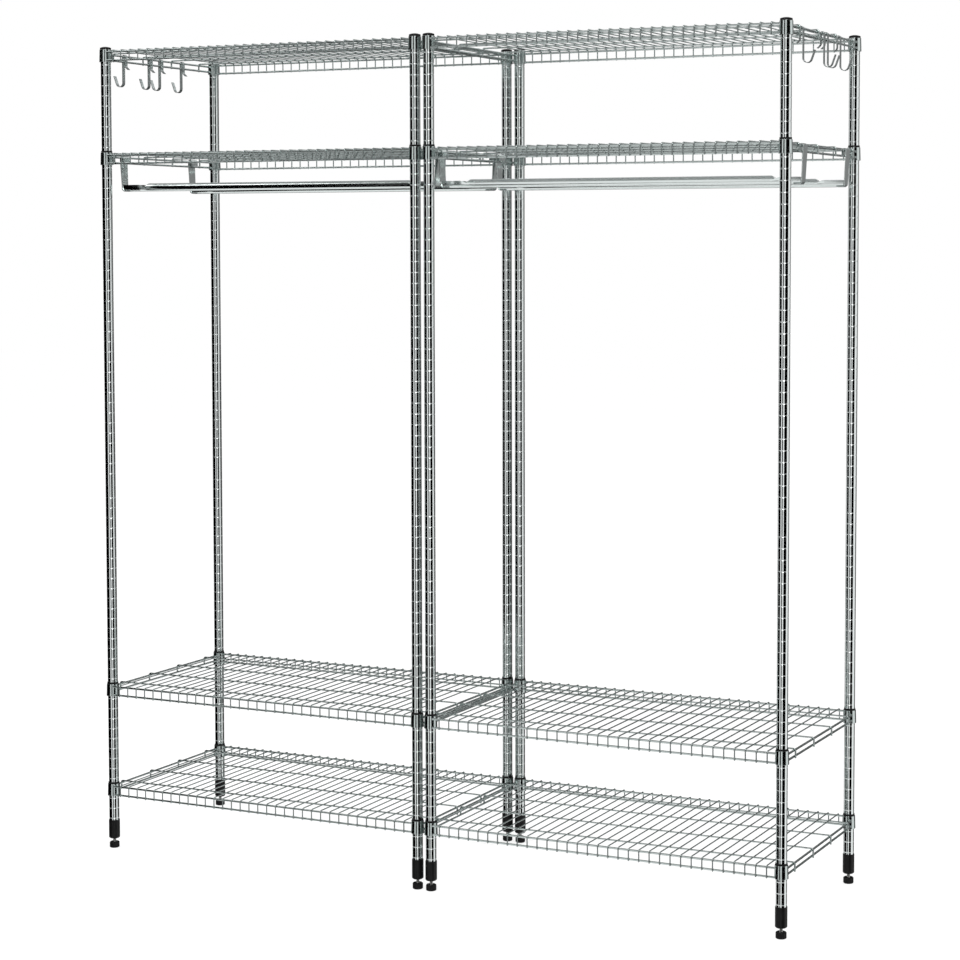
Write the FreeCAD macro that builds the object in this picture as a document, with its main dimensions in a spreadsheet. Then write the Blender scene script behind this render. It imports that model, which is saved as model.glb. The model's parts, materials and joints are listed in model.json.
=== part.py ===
"""Wire shelving unit with clothes rails: two free-standing bays side by side.

Frame: X runs along the width, Y from front to back, Z up. The origin lies on the floor under the
middle of the unit. Lengths are in millimetres.
"""
import FreeCAD, Part
import os
import re
import Sketcher
from FreeCAD import Placement, Rotation, Vector

# Driving dimensions: alias, value, meaning
SIZES = [
    ("post_spacing_x", 872, "left to right between the post axes of one bay"),
    ("post_spacing_y", 478, "front to back between the post axes of one bay"),
    ("bay_gap", 36, "between the neighbouring post axes of the two bays"),
    ("post_diameter", 25, "outside of the post tube"),
    ("post_wall", 1.2, "wall of the post tube"),
    ("lower_post_length", 890.6, "lower post section"),
    ("upper_post_length", 1087.4, "upper post section"),
    ("post_end_chamfer", 0.5, "bevel on the tube ends, which shows as a line at the joint"),
    ("groove_pitch", 25.4, "from one post groove to the next"),
    ("groove_depth", 0.5, "depth of a post groove"),
    ("groove_width", 2.2, "width of a post groove"),
    ("groove_end_margin", 30.5, "from the post joint to the nearest groove on each side"),
    ("groove_snap_share", 0.05, "share of a pitch by which the top groove may pass its limit"),
    ("bottom_shelf_height", 167, "floor to the sleeve rim of the bottom shelf"),
    ("lower_shelf_spacing", 254, "bottom shelf up to the lower shelf"),
    ("top_shelf_spacing", 254, "top shelf down to the shelf that carries the rails"),
    ("plug_length", 70, "joining plug inside the post joint"),
    ("plug_chamfer", 1.5, "bevel on the joining plug"),
    ("cap_height", 4, "domed cap above the post end"),
    ("cap_edge", 1.4, "upright edge of the cap"),
    ("cap_overhang", 0.75, "cap beyond the post"),
    ("cap_stem", 16, "cap stem inside the post"),
    ("fit_gap", 0.05, "gap of a push fit"),
    ("running_gap", 0.3, "gap between pieces that move on each other"),
    ("sleeve_rise", 3.3, "sleeve rim above the collar"),
    ("sleeve_top_wall", 0.8, "sleeve wall at its rim"),
    ("sleeve_bottom_wall", 1.8, "sleeve wall at its foot"),
    ("sleeve_split_angle", 4, "open angle between the two sleeve halves, in degrees"),
    ("bead_drop", 15.5, "sleeve rim down to the bead that sits in a groove"),
    ("collar_height", 30.5, "height of a shelf collar"),
    ("collar_wall", 1.2, "wall of a shelf collar"),
    ("frame_wire", 5, "diameter of the rim and side wires"),
    ("cross_wire", 3, "diameter of the front to back wires"),
    ("long_wire", 4, "diameter of the left to right wires"),
    ("weld_sink", 0.15, "depth to which crossing wires are pressed into each other"),
    ("rim_offset", 9.75, "post axis out to the front and rear rim wires"),
    ("side_offset", 9.05, "post axis out to the side wires"),
    ("rim_drop", 6.4, "collar top down to the upper rim wire"),
    ("rim_rise", 21, "lower rim wire up to the upper one"),
    ("side_rise", 13.5, "lower side wire up to the upper one"),
    ("leg_tail", 0.6, "wire leg below the wire that it is welded to"),
    ("cross_wire_pitch", 25.4, "from one cross wire to the next"),
    ("cross_wire_margin", 29, "least distance of a cross wire from the post axis"),
    ("long_wire_margin", 50.75, "outer long wire in from the post axis"),
    ("long_wire_count", 4, "long wires in a shelf"),
    ("rail_diameter", 20, "clothes rail tube"),
    ("rail_wall", 1.2, "wall of the clothes rail tube"),
    ("rail_drop", 74.5, "upper side wire down to the rail axis"),
    ("rail_inset", 38.3, "outer long wire in to the rail"),
    ("rail_flat_width", 30, "width of the flattened rail end"),
    ("rail_flat_thickness", 2.2, "thickness of the flattened rail end"),
    ("rail_flat_drop", 5, "rail axis down to the flattened end"),
    ("rail_flatten_length", 34, "stretch over which the tube is pressed flat"),
    ("rail_bend", 5, "bend radius where the flat end turns up"),
    ("rail_lean", 3, "lean of the upright end, in degrees"),
    ("rail_hook_play", 1.1, "room between the rail hook and the side wires, for its lean"),
    ("rail_hook_tail", 11, "rail hook below the wire on its inner side"),
    ("hook_width", 14, "width of the hook strip"),
    ("hook_thickness", 2, "thickness of the hook strip"),
    ("hook_drop", 65.2, "upper side wire down to the centre of the hook's bow"),
    ("hook_bow", 10, "radius of the hook's bow"),
    ("hook_lean", 20, "outward lean of the hook's arm, in degrees"),
    ("hook_arm", 22, "straight arm of the hook"),
    ("hook_tail", 26, "hook's inner leg below the wire"),
    ("hook_flick", 9, "radius of the curl that ends the inner leg"),
    ("hook_flick_angle", 50, "turn of that curl, in degrees"),
    ("socket_height", 47, "foot socket"),
    ("socket_floor", 4, "floor of the foot socket under the post"),
    ("socket_wall", 1.2, "wall of the foot socket round the post"),
    ("socket_chamfer", 2.4, "bevel under the foot socket"),
    ("socket_boss", 20, "threaded boss of the socket inside the post"),
    ("stud_diameter", 7.6, "levelling stud"),
    ("stud_length", 52, "levelling stud"),
    ("stud_chamfer", 0.8, "bevel on the stud ends"),
    ("stud_gap", 9.5, "stud that shows between pad and socket"),
    ("pad_diameter", 24.5, "levelling pad"),
    ("pad_height", 14.5, "levelling pad"),
    ("pad_chamfer", 1.5, "bevel on the pad's edges"),
    ("pad_floor", 4.5, "pad under the stud"),
    ("flute_diameter", 3.2, "flutes round the pad"),
    ("flute_count", 16, "flutes round the pad"),
    ("flute_floor", 3, "pad below the flutes"),
    ("cut_overrun", 3, "cutting tools past the surface that they cut"),
]
NAMES = {alias for alias, value, meaning in SIZES}

# Places of the hooks along the side wires, as shares of half the post spacing
LEFT_HOOK_SHARES = (-0.615, -0.159, 0.037, 0.441)
RIGHT_HOOK_SHARES = (-0.688, -0.095, 0.015, 0.392)

BAYS = {"left": -1, "right": 1}
CORNERS = {"front_left": (-1, -1), "front_right": (1, -1), "rear_left": (-1, 1), "rear_right": (1, 1)}

doc = FreeCAD.newDocument("wire_shelving_unit")
sheet = doc.addObject("Spreadsheet::Sheet", "Sizes")
for row, (alias, value, meaning) in enumerate(SIZES, start=1):
    sheet.set(f"A{row}", meaning)
    sheet.set(f"B{row}", str(value))
    sheet.setAlias(f"B{row}", alias)
doc.recompute()


def formula(text):
    """Point every size named in the text at its cell in the sheet."""
    return re.sub(r"[a-z]\w*", lambda word: f"Sizes.{word[0]}" if word[0] in NAMES else word[0], text)


def number(text):
    """Work out a formula's present value."""
    return float(sheet.evalExpression(formula(text)))


# Places and radii that several pieces share, as formulas on the driving dimensions
half_x = "(post_spacing_x / 2)"
half_y = "(post_spacing_y / 2)"
bay_x = "((post_spacing_x + bay_gap) / 2)"
post_r = "(post_diameter / 2)"
bore_r = "(post_diameter / 2 - post_wall)"
socket_z = "(pad_height + stud_gap)"
post_z = f"({socket_z} + socket_floor)"
joint_z = f"({post_z} + lower_post_length)"
top_z = f"({joint_z} + upper_post_length)"

# A shelf sits where its sleeve's bead finds a groove: rim heights snap to the groove pitch
first_down = f"({joint_z} - groove_end_margin + bead_drop)"
first_up = f"({joint_z} + groove_end_margin + bead_drop)"
bottom_rim = (f"({first_down} - round(({first_down} - bottom_shelf_height) / groove_pitch)"
              " * groove_pitch)")
lower_rim = f"({bottom_rim} + round(lower_shelf_spacing / groove_pitch) * groove_pitch)"
top_rim = (f"({first_up} + floor(({top_z} - {first_up}) / groove_pitch + groove_snap_share)"
           " * groove_pitch)")
hanging_rim = f"({top_rim} - round(top_shelf_spacing / groove_pitch) * groove_pitch)"
LEVELS = {"bottom": bottom_rim, "lower": lower_rim, "hanging": hanging_rim, "top": top_rim}

# The sleeve widens downwards, and the collar follows it
sleeve_top_r = f"({post_r} + sleeve_top_wall)"
sleeve_bottom_r = f"({post_r} + sleeve_bottom_wall)"
sleeve_length = "(sleeve_rise + collar_height)"
sleeve_seat_r = f"({sleeve_top_r} + ({sleeve_bottom_r} - {sleeve_top_r}) * sleeve_rise / {sleeve_length})"
SLEEVE_BANDS = 9
collar_top_bore = f"({sleeve_seat_r} + running_gap)"
collar_bottom_bore = f"({sleeve_bottom_r} + running_gap)"
collar_top_r = f"({collar_top_bore} + collar_wall)"
collar_bottom_r = f"({collar_bottom_bore} + collar_wall)"

# Wires of a shelf, in heights under the collar top
rim_y = f"({half_y} + rim_offset)"
rim_high = "(-rim_drop)"
rim_low = "(-rim_drop - rim_rise)"
cross_bend = "(frame_wire / 2 + cross_wire / 2 - weld_sink)"
cross_high = f"({rim_high} + {cross_bend})"
cross_low = f"({rim_low} - frame_wire / 2 - leg_tail)"
cross_y = f"({rim_y} + {cross_bend})"
cross_count = "(floor((post_spacing_x - 2 * cross_wire_margin) / cross_wire_pitch) + 1)"
cross_span = f"(({cross_count} - 1) * cross_wire_pitch)"
long_high = f"({cross_high} - cross_wire / 2 - long_wire / 2 + weld_sink)"
long_bend = "(frame_wire / 2 + long_wire / 2 - weld_sink)"
long_span = "(post_spacing_y - 2 * long_wire_margin)"
side_x = f"({half_x} + side_offset)"
side_high = f"({long_high} - {long_bend})"
side_low = f"({side_high} - side_rise)"
long_x = f"({side_x} + {long_bend})"
long_low = f"({side_low} - frame_wire / 2 - leg_tail)"


def new_body(name):
    """A body that may hold several separate solids."""
    body = doc.addObject("PartDesign::Body", name)
    body.AllowCompound = True
    return body


def origin(body, role):
    """The body's own origin plane or axis of that role."""
    return next(item for item in body.Origin.OriginFeatures if item.Role == role)


def sketch_on(body, name, plane, x="0", y="0", out="0"):
    """A sketch on one of the body's origin planes, moved by formulas within and out of the plane."""
    sketch = body.newObject("Sketcher::SketchObject", name)
    sketch.AttachmentSupport = [(origin(body, plane), "")]
    sketch.MapMode = "FlatFace"
    for axis, text in (("x", x), ("y", y), ("z", out)):
        sketch.setExpression(f"AttachmentOffset.Base.{axis}", formula(text))
    return sketch


def corner_sketch(body, name):
    """An upright sketch whose vertical axis is the axis of the bay's front left post."""
    return sketch_on(body, name, "XZ_Plane", x=f"-{half_x}", out=half_y)


def hold(sketch, kind, geo, text, point=None):
    """Bind one dimension of a sketch to a formula."""
    where = (geo,) if point is None else (geo, point)
    index = sketch.addConstraint(Sketcher.Constraint(kind, *where, number(text)))
    sketch.setExpression(f"Constraints[{index}]", formula(text))


def pin(sketch, geo, point, x, y):
    """Hold one point of a sketch at a place given by two formulas."""
    for kind, axis, text in (("DistanceX", -2, x), ("DistanceY", -1, y)):
        if text == "0":
            sketch.addConstraint(Sketcher.Constraint("PointOnObject", geo, point, axis))
        else:
            hold(sketch, kind, geo, text, point)


def circle(sketch, x, y, diameter):
    """A circle with its centre and diameter bound to formulas."""
    centre = Vector(number(x), number(y), 0)
    geo = sketch.addGeometry(Part.Circle(centre, Vector(0, 0, 1), number(diameter) / 2))
    hold(sketch, "Diameter", geo, diameter)
    pin(sketch, geo, 3, x, y)


def trace(sketch, points, closed=True):
    """Draw an outline through points, each a pair of formulas.

    A point that ends an arc also gives the way the arc turns and its radius.
    """
    spots = [Vector(number(point[0]), number(point[1]), 0) for point in points]
    count = len(points) if closed else len(points) - 1
    ends = []
    for index in range(count):
        start = spots[index]
        following = (index + 1) % len(points)
        end = spots[following]
        if len(points[following]) == 2:
            geo = sketch.addGeometry(Part.LineSegment(start, end))
            ends.append((geo, 1, 2))
            continue
        way, radius = points[following][2:]
        chord = end - start
        bulge = number(radius) - (number(radius) ** 2 - chord.Length ** 2 / 4) ** 0.5
        outward = Vector(chord.y, -chord.x, 0).normalize() * bulge
        middle = (start + end) / 2 + (outward if way == "left" else -outward)
        geo = sketch.addGeometry(Part.Arc(start, middle, end))
        ends.append((geo, 1, 2) if way == "left" else (geo, 2, 1))
    for index in range(count - (0 if closed else 1)):
        geo, start, end = ends[index]
        after, after_start, after_end = ends[(index + 1) % count]
        sketch.addConstraint(Sketcher.Constraint("Coincident", geo, end, after, after_start))
    for index, (geo, start, end) in enumerate(ends):
        pin(sketch, geo, start, *points[index][:2])
        following = points[(index + 1) % len(points)]
        if len(following) > 2:
            hold(sketch, "Radius", geo, following[3])
    if not closed:
        pin(sketch, ends[-1][0], ends[-1][2], *points[-1][:2])


def turned(body, name, sketch, points, kind="Revolution"):
    """Turn an outline round the sketch's upright axis, to add or to cut."""
    trace(sketch, points)
    feature = body.newObject(f"PartDesign::{kind}", name)
    feature.Profile = sketch
    feature.ReferenceAxis = (sketch, ["V_Axis"])
    feature.Angle = 360
    body.Tip = feature
    return feature


def padded(body, name, sketch, length):
    """Pad a sketch by half a length to each side."""
    feature = body.newObject("PartDesign::Pad", name)
    feature.Profile = sketch
    feature.SideType = "Symmetric"
    feature.setExpression("Length", formula(length))
    body.Tip = feature
    return feature


def piped(body, name, profile, path):
    """Carry a profile along a path."""
    feature = body.newObject("PartDesign::AdditivePipe", name)
    feature.Profile = profile
    feature.Spine = path
    body.Tip = feature
    return feature


def linear(body, name, axis, length, count, axis2=None, length2=None, count2=None):
    """A pattern along one or two axes of the body."""
    pattern = body.newObject("PartDesign::LinearPattern", name)
    pattern.Direction = (origin(body, axis), [""])
    pattern.setExpression("Length", formula(length))
    pattern.setExpression("Occurrences", formula(count))
    if axis2:
        pattern.Direction2 = (origin(body, axis2), [""])
        pattern.setExpression("Length2", formula(length2))
        pattern.setExpression("Occurrences2", formula(count2))
    return pattern


def repeat(body, name, feature, *axes):
    """Repeat one feature in a linear pattern."""
    pattern = linear(body, name, *axes)
    pattern.Originals = [feature]
    body.Tip = pattern
    return pattern


def at_corners(body, name, feature):
    """Repeat a feature of the front left post at all four posts of the bay."""
    return repeat(body, name, feature, "X_Axis", "post_spacing_x", "2", "Y_Axis", "post_spacing_y", "2")


def place(item, x="0", y="0", z="0", turn=0):
    """Put an object at a place given by formulas, turned about the upright axis."""
    item.Placement = Placement(Vector(), Rotation(Vector(0, 0, 1), turn))
    for axis, text in (("x", x), ("y", y), ("z", z)):
        item.setExpression(f"Placement.Base.{axis}", formula(text))


def copy_of(master, label, x="0", y="0", z="0", turn=0):
    """A body that repeats another object's shape at a place of its own."""
    body = new_body(label)
    base = doc.addObject("PartDesign::FeatureBase", f"{label}_shape")
    base.BaseFeature = master
    body.Group = [base]
    body.Tip = base
    place(body, x, y, z, turn)
    return body


def post_section(name, length, count, first_groove, direction):
    """A post tube from z = 0 upwards, with bevelled ends and evenly spaced grooves."""
    tube = new_body(f"{name}_tube")
    turned(tube, f"{name}_turning", sketch_on(tube, f"{name}_wall", "XZ_Plane"), [
        (bore_r, "0"),
        (f"{post_r} - post_end_chamfer", "0"),
        (post_r, "post_end_chamfer"),
        (post_r, f"{length} - post_end_chamfer"),
        (f"{post_r} - post_end_chamfer", length),
        (bore_r, length),
    ])
    outer = f"{post_r} + groove_depth"
    grooves = new_body(f"{name}_grooves")
    groove = turned(grooves, f"{name}_groove", sketch_on(grooves, f"{name}_groove_outline", "XZ_Plane"), [
        (f"{post_r} - groove_depth", f"{first_groove} - groove_width / 2 + groove_depth"),
        (outer, f"{first_groove} - groove_width / 2 - groove_depth"),
        (outer, f"{first_groove} + groove_width / 2 + groove_depth"),
        (f"{post_r} - groove_depth", f"{first_groove} + groove_width / 2 - groove_depth"),
    ])
    row = repeat(grooves, f"{name}_groove_row", groove, "Z_Axis", f"({count} - 1) * groove_pitch", count)
    row.Reversed = direction < 0
    post = doc.addObject("Part::Cut", name)
    post.Base = tube
    post.Tool = grooves
    return post


def lower_post():
    """Lower section: its grooves run down from the joint to the foot socket."""
    clear = "(lower_post_length - groove_end_margin - socket_height + socket_floor - groove_width)"
    count = f"(floor({clear} / groove_pitch) + 1)"
    return post_section("lower_post", "lower_post_length", count,
                        "(lower_post_length - groove_end_margin)", -1)


def upper_post():
    """Upper section: its grooves run up from the joint to the one that holds the top shelf."""
    count = f"(round(({top_rim} - {first_up}) / groove_pitch) + 1)"
    return post_section("upper_post", "upper_post_length", count, "groove_end_margin", 1)


def joining_plugs():
    """Bevelled plugs that line up the two sections of each post, centred on z = 0."""
    body = new_body("joining_plugs")
    radius = f"({bore_r} - fit_gap)"
    half = "(plug_length / 2)"
    plug = turned(body, "plug", corner_sketch(body, "plug_outline"), [
        ("0", f"-{half}"),
        (f"{radius} - plug_chamfer", f"-{half}"),
        (radius, f"-{half} + plug_chamfer"),
        (radius, f"{half} - plug_chamfer"),
        (f"{radius} - plug_chamfer", half),
        ("0", half),
    ])
    at_corners(body, "plugs", plug)
    return body


def post_caps():
    """Domed caps whose stems sit in the post ends, with the post end at z = 0."""
    body = new_body("post_caps")
    stem = f"({bore_r} - fit_gap)"
    edge = f"({post_r} + cap_overhang)"
    crown = "(cap_height - cap_edge)"
    cap = turned(body, "cap", corner_sketch(body, "cap_outline"), [
        ("0", "-cap_stem"),
        (stem, "-cap_stem"),
        (stem, "0"),
        (edge, "0"),
        (edge, "cap_edge"),
        ("0", "cap_height", "left", f"({edge} * {edge} + {crown} * {crown}) / (2 * {crown})"),
    ])
    at_corners(body, "caps", cap)
    return body


def sleeves():
    """Split tapered sleeves of one shelf, with their rims at z = 0 and a bead in a post groove.

    The taper is drawn as a stack of bands, so that a faceted copy of the thin wall keeps its thickness.
    """
    body = new_body("sleeves")
    inner = f"({post_r} + fit_gap)"
    bead = f"({post_r} - groove_depth + fit_gap)"
    half_bead = "(groove_width / 2 - groove_depth)"
    taper = []
    for band in range(SLEEVE_BANDS, 0, -1):
        depth_share = f"({band} / {SLEEVE_BANDS})"
        taper.append((f"{sleeve_top_r} + ({sleeve_bottom_r} - {sleeve_top_r}) * {depth_share}",
                      f"-{sleeve_length} * {depth_share}"))
    half = turned(body, "sleeve_half", corner_sketch(body, "sleeve_outline"), [
        (inner, f"-{sleeve_length}"),
        *taper,
        (sleeve_top_r, "0"),
        (inner, "0"),
        (inner, f"-bead_drop + {half_bead}"),
        (bead, f"-bead_drop + {half_bead} - groove_depth + 2 * fit_gap"),
        (bead, f"-bead_drop - {half_bead} + groove_depth - 2 * fit_gap"),
        (inner, f"-bead_drop - {half_bead}"),
    ])
    half.setExpression("Angle", formula("180 - sleeve_split_angle"))
    half.Midplane = True
    half.Refine = False
    pair = body.newObject("PartDesign::PolarPattern", "sleeve_pair")
    pair.Axis = (half.Profile[0], ["V_Axis"])
    pair.Angle = 360
    pair.Occurrences = 2
    corners = linear(body, "sleeve_corners",
                     "X_Axis", "post_spacing_x", "2", "Y_Axis", "post_spacing_y", "2")
    group = body.newObject("PartDesign::MultiTransform", "sleeve_group")
    group.Originals = [half]
    group.Transformations = [pair, corners]
    group.Refine = False
    body.Tip = group
    return body


def shelf_collars():
    """Tapered collars that wedge on the sleeves, with their tops at z = 0."""
    body = new_body("shelf_collars")
    collar = turned(body, "collar", corner_sketch(body, "collar_outline"), [
        (collar_bottom_bore, "-collar_height"),
        (collar_bottom_r, "-collar_height"),
        (collar_top_r, "0"),
        (collar_top_bore, "0"),
    ])
    at_corners(body, "collars", collar)
    return body


def scribed(body, name):
    """Cut a body's wires where they meet the outside of the four collars."""
    notch = turned(body, f"{name}_notch", corner_sketch(body, f"{name}_notch_outline"), [
        ("0", "-collar_height - cut_overrun"),
        (collar_bottom_r, "-collar_height - cut_overrun"),
        (collar_bottom_r, "-collar_height"),
        (collar_top_r, "0"),
        (collar_top_r, "cut_overrun"),
        ("0", "cut_overrun"),
    ], "Groove")
    at_corners(body, f"{name}_notches", notch)


def rim_wires():
    """Two wires along the front of a shelf and two along the rear, from collar to collar."""
    body = new_body("rim_wires")
    outline = sketch_on(body, "rim_outline", "YZ_Plane")
    circle(outline, f"-{rim_y}", rim_low, "frame_wire")
    wire = padded(body, "rim_wire", outline, "post_spacing_x")
    repeat(body, "rims", wire, "Y_Axis", f"2 * {rim_y}", "2", "Z_Axis", "rim_rise", "2")
    scribed(body, "rim")
    return body


def side_wires():
    """Two wires along each side of a shelf, from collar to collar."""
    body = new_body("side_wires")
    outline = sketch_on(body, "side_outline", "XZ_Plane")
    circle(outline, f"-{side_x}", side_low, "frame_wire")
    wire = padded(body, "side_wire", outline, "post_spacing_y")
    repeat(body, "sides", wire, "X_Axis", f"2 * {side_x}", "2", "Z_Axis", "side_rise", "2")
    scribed(body, "side")
    return body


def staple(reach, centre, low, centre_high, high, bend):
    """Path of a wire that lies flat and bends down at both ends round the wires under it."""
    return [
        (f"-{reach}", low),
        (f"-{reach}", centre_high),
        (f"-{centre}", high, "right", bend),
        (centre, high),
        (reach, centre_high, "right", bend),
        (reach, low),
    ]


def cross_wires():
    """Front to back wires over the rims, bent down outside them."""
    body = new_body("cross_wires")
    path = sketch_on(body, "cross_path", "YZ_Plane", out=f"-{cross_span} / 2")
    trace(path, staple(cross_y, rim_y, cross_low, rim_high, cross_high, cross_bend), closed=False)
    profile = sketch_on(body, "cross_section", "XY_Plane", out=cross_low)
    circle(profile, f"-{cross_span} / 2", f"-{cross_y}", "cross_wire")
    wire = piped(body, "cross_wire_first", profile, path)
    repeat(body, "cross_wire_row", wire, "X_Axis", cross_span, cross_count)
    return body


def long_wires():
    """Left to right wires under the cross wires, their ends bent down over the side wires as ties."""
    body = new_body("long_wires")
    path = sketch_on(body, "long_path", "XZ_Plane", out=f"{long_span} / 2")
    trace(path, staple(long_x, side_x, long_low, side_high, long_high, long_bend), closed=False)
    profile = sketch_on(body, "long_section", "XY_Plane", out=long_low)
    circle(profile, f"-{long_x}", f"-{long_span} / 2", "long_wire")
    wire = piped(body, "long_wire_first", profile, path)
    repeat(body, "long_wire_row", wire, "Y_Axis", long_span, "long_wire_count")
    return body


def shelf():
    """One welded shelf, with the tops of its collars at z = 0."""
    whole = doc.addObject("Part::Compound", "shelf")
    whole.Links = [cross_wires(), long_wires(), rim_wires(), side_wires(), shelf_collars()]
    return whole


def rail_bracket(wrap, hook_z, foot_x, flat_z):
    """Flattened rail ends, turned up, leaning and hooked over the upper side wires."""
    body = new_body("rail_bracket")
    lean_sin = "sin(rail_lean * 1 deg)"
    lean_cos = "cos(rail_lean * 1 deg)"
    path = sketch_on(body, "bracket_path", "XZ_Plane")
    trace(path, [
        (f"{foot_x} - rail_flat_thickness", flat_z),
        (foot_x, flat_z),
        (f"{foot_x} + rail_bend * {lean_cos}", f"{flat_z} + rail_bend - rail_bend * {lean_sin}",
         "left", "rail_bend"),
        (f"{side_x} + {wrap} * {lean_cos}", f"{hook_z} - {wrap} * {lean_sin}"),
        (side_x, f"{hook_z} + {wrap}", "left", wrap),
        (f"{side_x} - {wrap}", hook_z, "left", wrap),
        (f"{side_x} - {wrap}", f"{side_high} - rail_hook_tail"),
    ], closed=False)
    profile = sketch_on(body, "bracket_section", "YZ_Plane", out=f"{foot_x} - rail_flat_thickness")
    strip(profile, "rail_flat_width", "rail_flat_thickness", flat_z)
    right = piped(body, "bracket_right", profile, path)
    both = body.newObject("PartDesign::Mirrored", "brackets")
    both.Originals = [right]
    both.MirrorPlane = (origin(body, "YZ_Plane"), [""])
    body.Tip = both
    return body


def strip(sketch, width, thickness, height):
    """A rectangle across the strip's path, centred at a height."""
    trace(sketch, [
        (f"-{width} / 2", f"{height} - {thickness} / 2"),
        (f"{width} / 2", f"{height} - {thickness} / 2"),
        (f"{width} / 2", f"{height} + {thickness} / 2"),
        (f"-{width} / 2", f"{height} + {thickness} / 2"),
    ])


def ring(kind, name, radii, x, z):
    """A circle or an ellipse round the rail's run, at a place along it."""
    edge = doc.addObject(f"Part::{kind}", name)
    for key, text in radii.items():
        edge.setExpression(key, formula(text))
    edge.Placement = Placement(Vector(), Rotation(Vector(0, 1, 0), Vector(0, 0, 1), Vector(1, 0, 0), "ZXY"))
    edge.setExpression("Placement.Base.x", formula(x))
    edge.setExpression("Placement.Base.z", formula(z))
    return edge


def clothes_rail():
    """One clothes rail in the middle of the bay, with the shelf's collar tops at z = 0."""
    wrap = "(frame_wire / 2 + rail_hook_play + rail_flat_thickness / 2)"
    hook_z = f"({side_high} + running_gap - rail_hook_play)"
    rail_z = f"({side_high} - rail_drop)"
    flat_z = f"({rail_z} - rail_flat_drop)"
    rise = f"({hook_z} - {flat_z} - rail_bend)"
    foot_x = (f"({side_x} + ({wrap} - rail_bend) / cos(rail_lean * 1 deg)"
              f" - {rise} * tan(rail_lean * 1 deg))")
    tube_end = f"({foot_x} - rail_flatten_length)"
    tube = new_body("rail_tube")
    section = sketch_on(tube, "rail_section", "YZ_Plane")
    circle(section, "0", rail_z, "rail_diameter")
    circle(section, "0", rail_z, "rail_diameter - 2 * rail_wall")
    padded(tube, "rail_run", section, f"2 * {tube_end}")
    pieces = [tube, rail_bracket(wrap, hook_z, foot_x, flat_z)]
    for side, sign in (("right", ""), ("left", "-")):
        full = ring("Circle", f"rail_round_{side}", {
            "Radius": "rail_diameter / 2",
        }, f"{sign}{tube_end}", rail_z)
        flat = ring("Ellipse", f"rail_flat_{side}", {
            "MajorRadius": "rail_flat_width / 2",
            "MinorRadius": "rail_flat_thickness / 2",
        }, f"{sign}{foot_x}", flat_z)
        press = doc.addObject("Part::Loft", f"rail_pressed_{side}")
        press.Sections = [full, flat]
        press.Solid = True
        pieces.append(press)
    rail = doc.addObject("Part::MultiFuse", "clothes_rail")
    rail.Shapes = pieces
    return rail


def wire_hook():
    """One hook on a right-hand side wire, whose axis lies at x = 0 and z = 0."""
    body = new_body("wire_hook")
    wrap = "(frame_wire / 2 + running_gap + hook_thickness / 2)"
    profile = sketch_on(body, "hook_section", "YZ_Plane")
    strip(profile, "hook_width", "hook_thickness", wrap)
    arm_x = f"({wrap} + hook_bow + hook_bow * cos(hook_lean * 1 deg))"
    arm_z = "(-hook_drop - hook_bow * sin(hook_lean * 1 deg))"
    front = sketch_on(body, "hook_front_path", "XZ_Plane")
    trace(front, [
        ("0", wrap),
        (wrap, "0", "right", wrap),
        (wrap, "-hook_drop"),
        (f"{wrap} + hook_bow", "-hook_drop - hook_bow", "left", "hook_bow"),
        (arm_x, arm_z, "left", "hook_bow"),
        (f"{arm_x} + hook_arm * sin(hook_lean * 1 deg)", f"{arm_z} + hook_arm * cos(hook_lean * 1 deg)"),
    ], closed=False)
    piped(body, "hook_front", profile, front)
    back = sketch_on(body, "hook_back_path", "XZ_Plane")
    trace(back, [
        ("0", wrap),
        (f"-{wrap}", "0", "left", wrap),
        (f"-{wrap}", "-hook_tail"),
        (f"-{wrap} - hook_flick + hook_flick * cos(hook_flick_angle * 1 deg)",
         "-hook_tail - hook_flick * sin(hook_flick_angle * 1 deg)", "right", "hook_flick"),
    ], closed=False)
    piped(body, "hook_back", profile, back)
    return body


def foot_sockets():
    """Sockets round the post ends, each with a boss for the stud, with their undersides at z = 0."""
    body = new_body("foot_sockets")
    hole = "(stud_diameter / 2 + running_gap)"
    outer = f"({post_r} + fit_gap + socket_wall)"
    socket = turned(body, "socket", corner_sketch(body, "socket_outline"), [
        (hole, "0"),
        (f"{outer} - socket_chamfer", "0"),
        (outer, "socket_chamfer"),
        (outer, "socket_height"),
        (f"{post_r} + fit_gap", "socket_height"),
        (f"{post_r} + fit_gap", "socket_floor"),
        (f"{bore_r} - fit_gap", "socket_floor"),
        (f"{bore_r} - fit_gap", "socket_floor + socket_boss"),
        (hole, "socket_floor + socket_boss"),
    ])
    at_corners(body, "sockets", socket)
    return body


def foot_stud():
    """Levelling stud with bevelled ends, from z = 0 upwards."""
    body = new_body("foot_stud")
    radius = "(stud_diameter / 2)"
    turned(body, "stud", sketch_on(body, "stud_outline", "XZ_Plane"), [
        ("0", "0"),
        (f"{radius} - stud_chamfer", "0"),
        (radius, "stud_chamfer"),
        (radius, "stud_length - stud_chamfer"),
        (f"{radius} - stud_chamfer", "stud_length"),
        ("0", "stud_length"),
    ])
    return body


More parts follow.
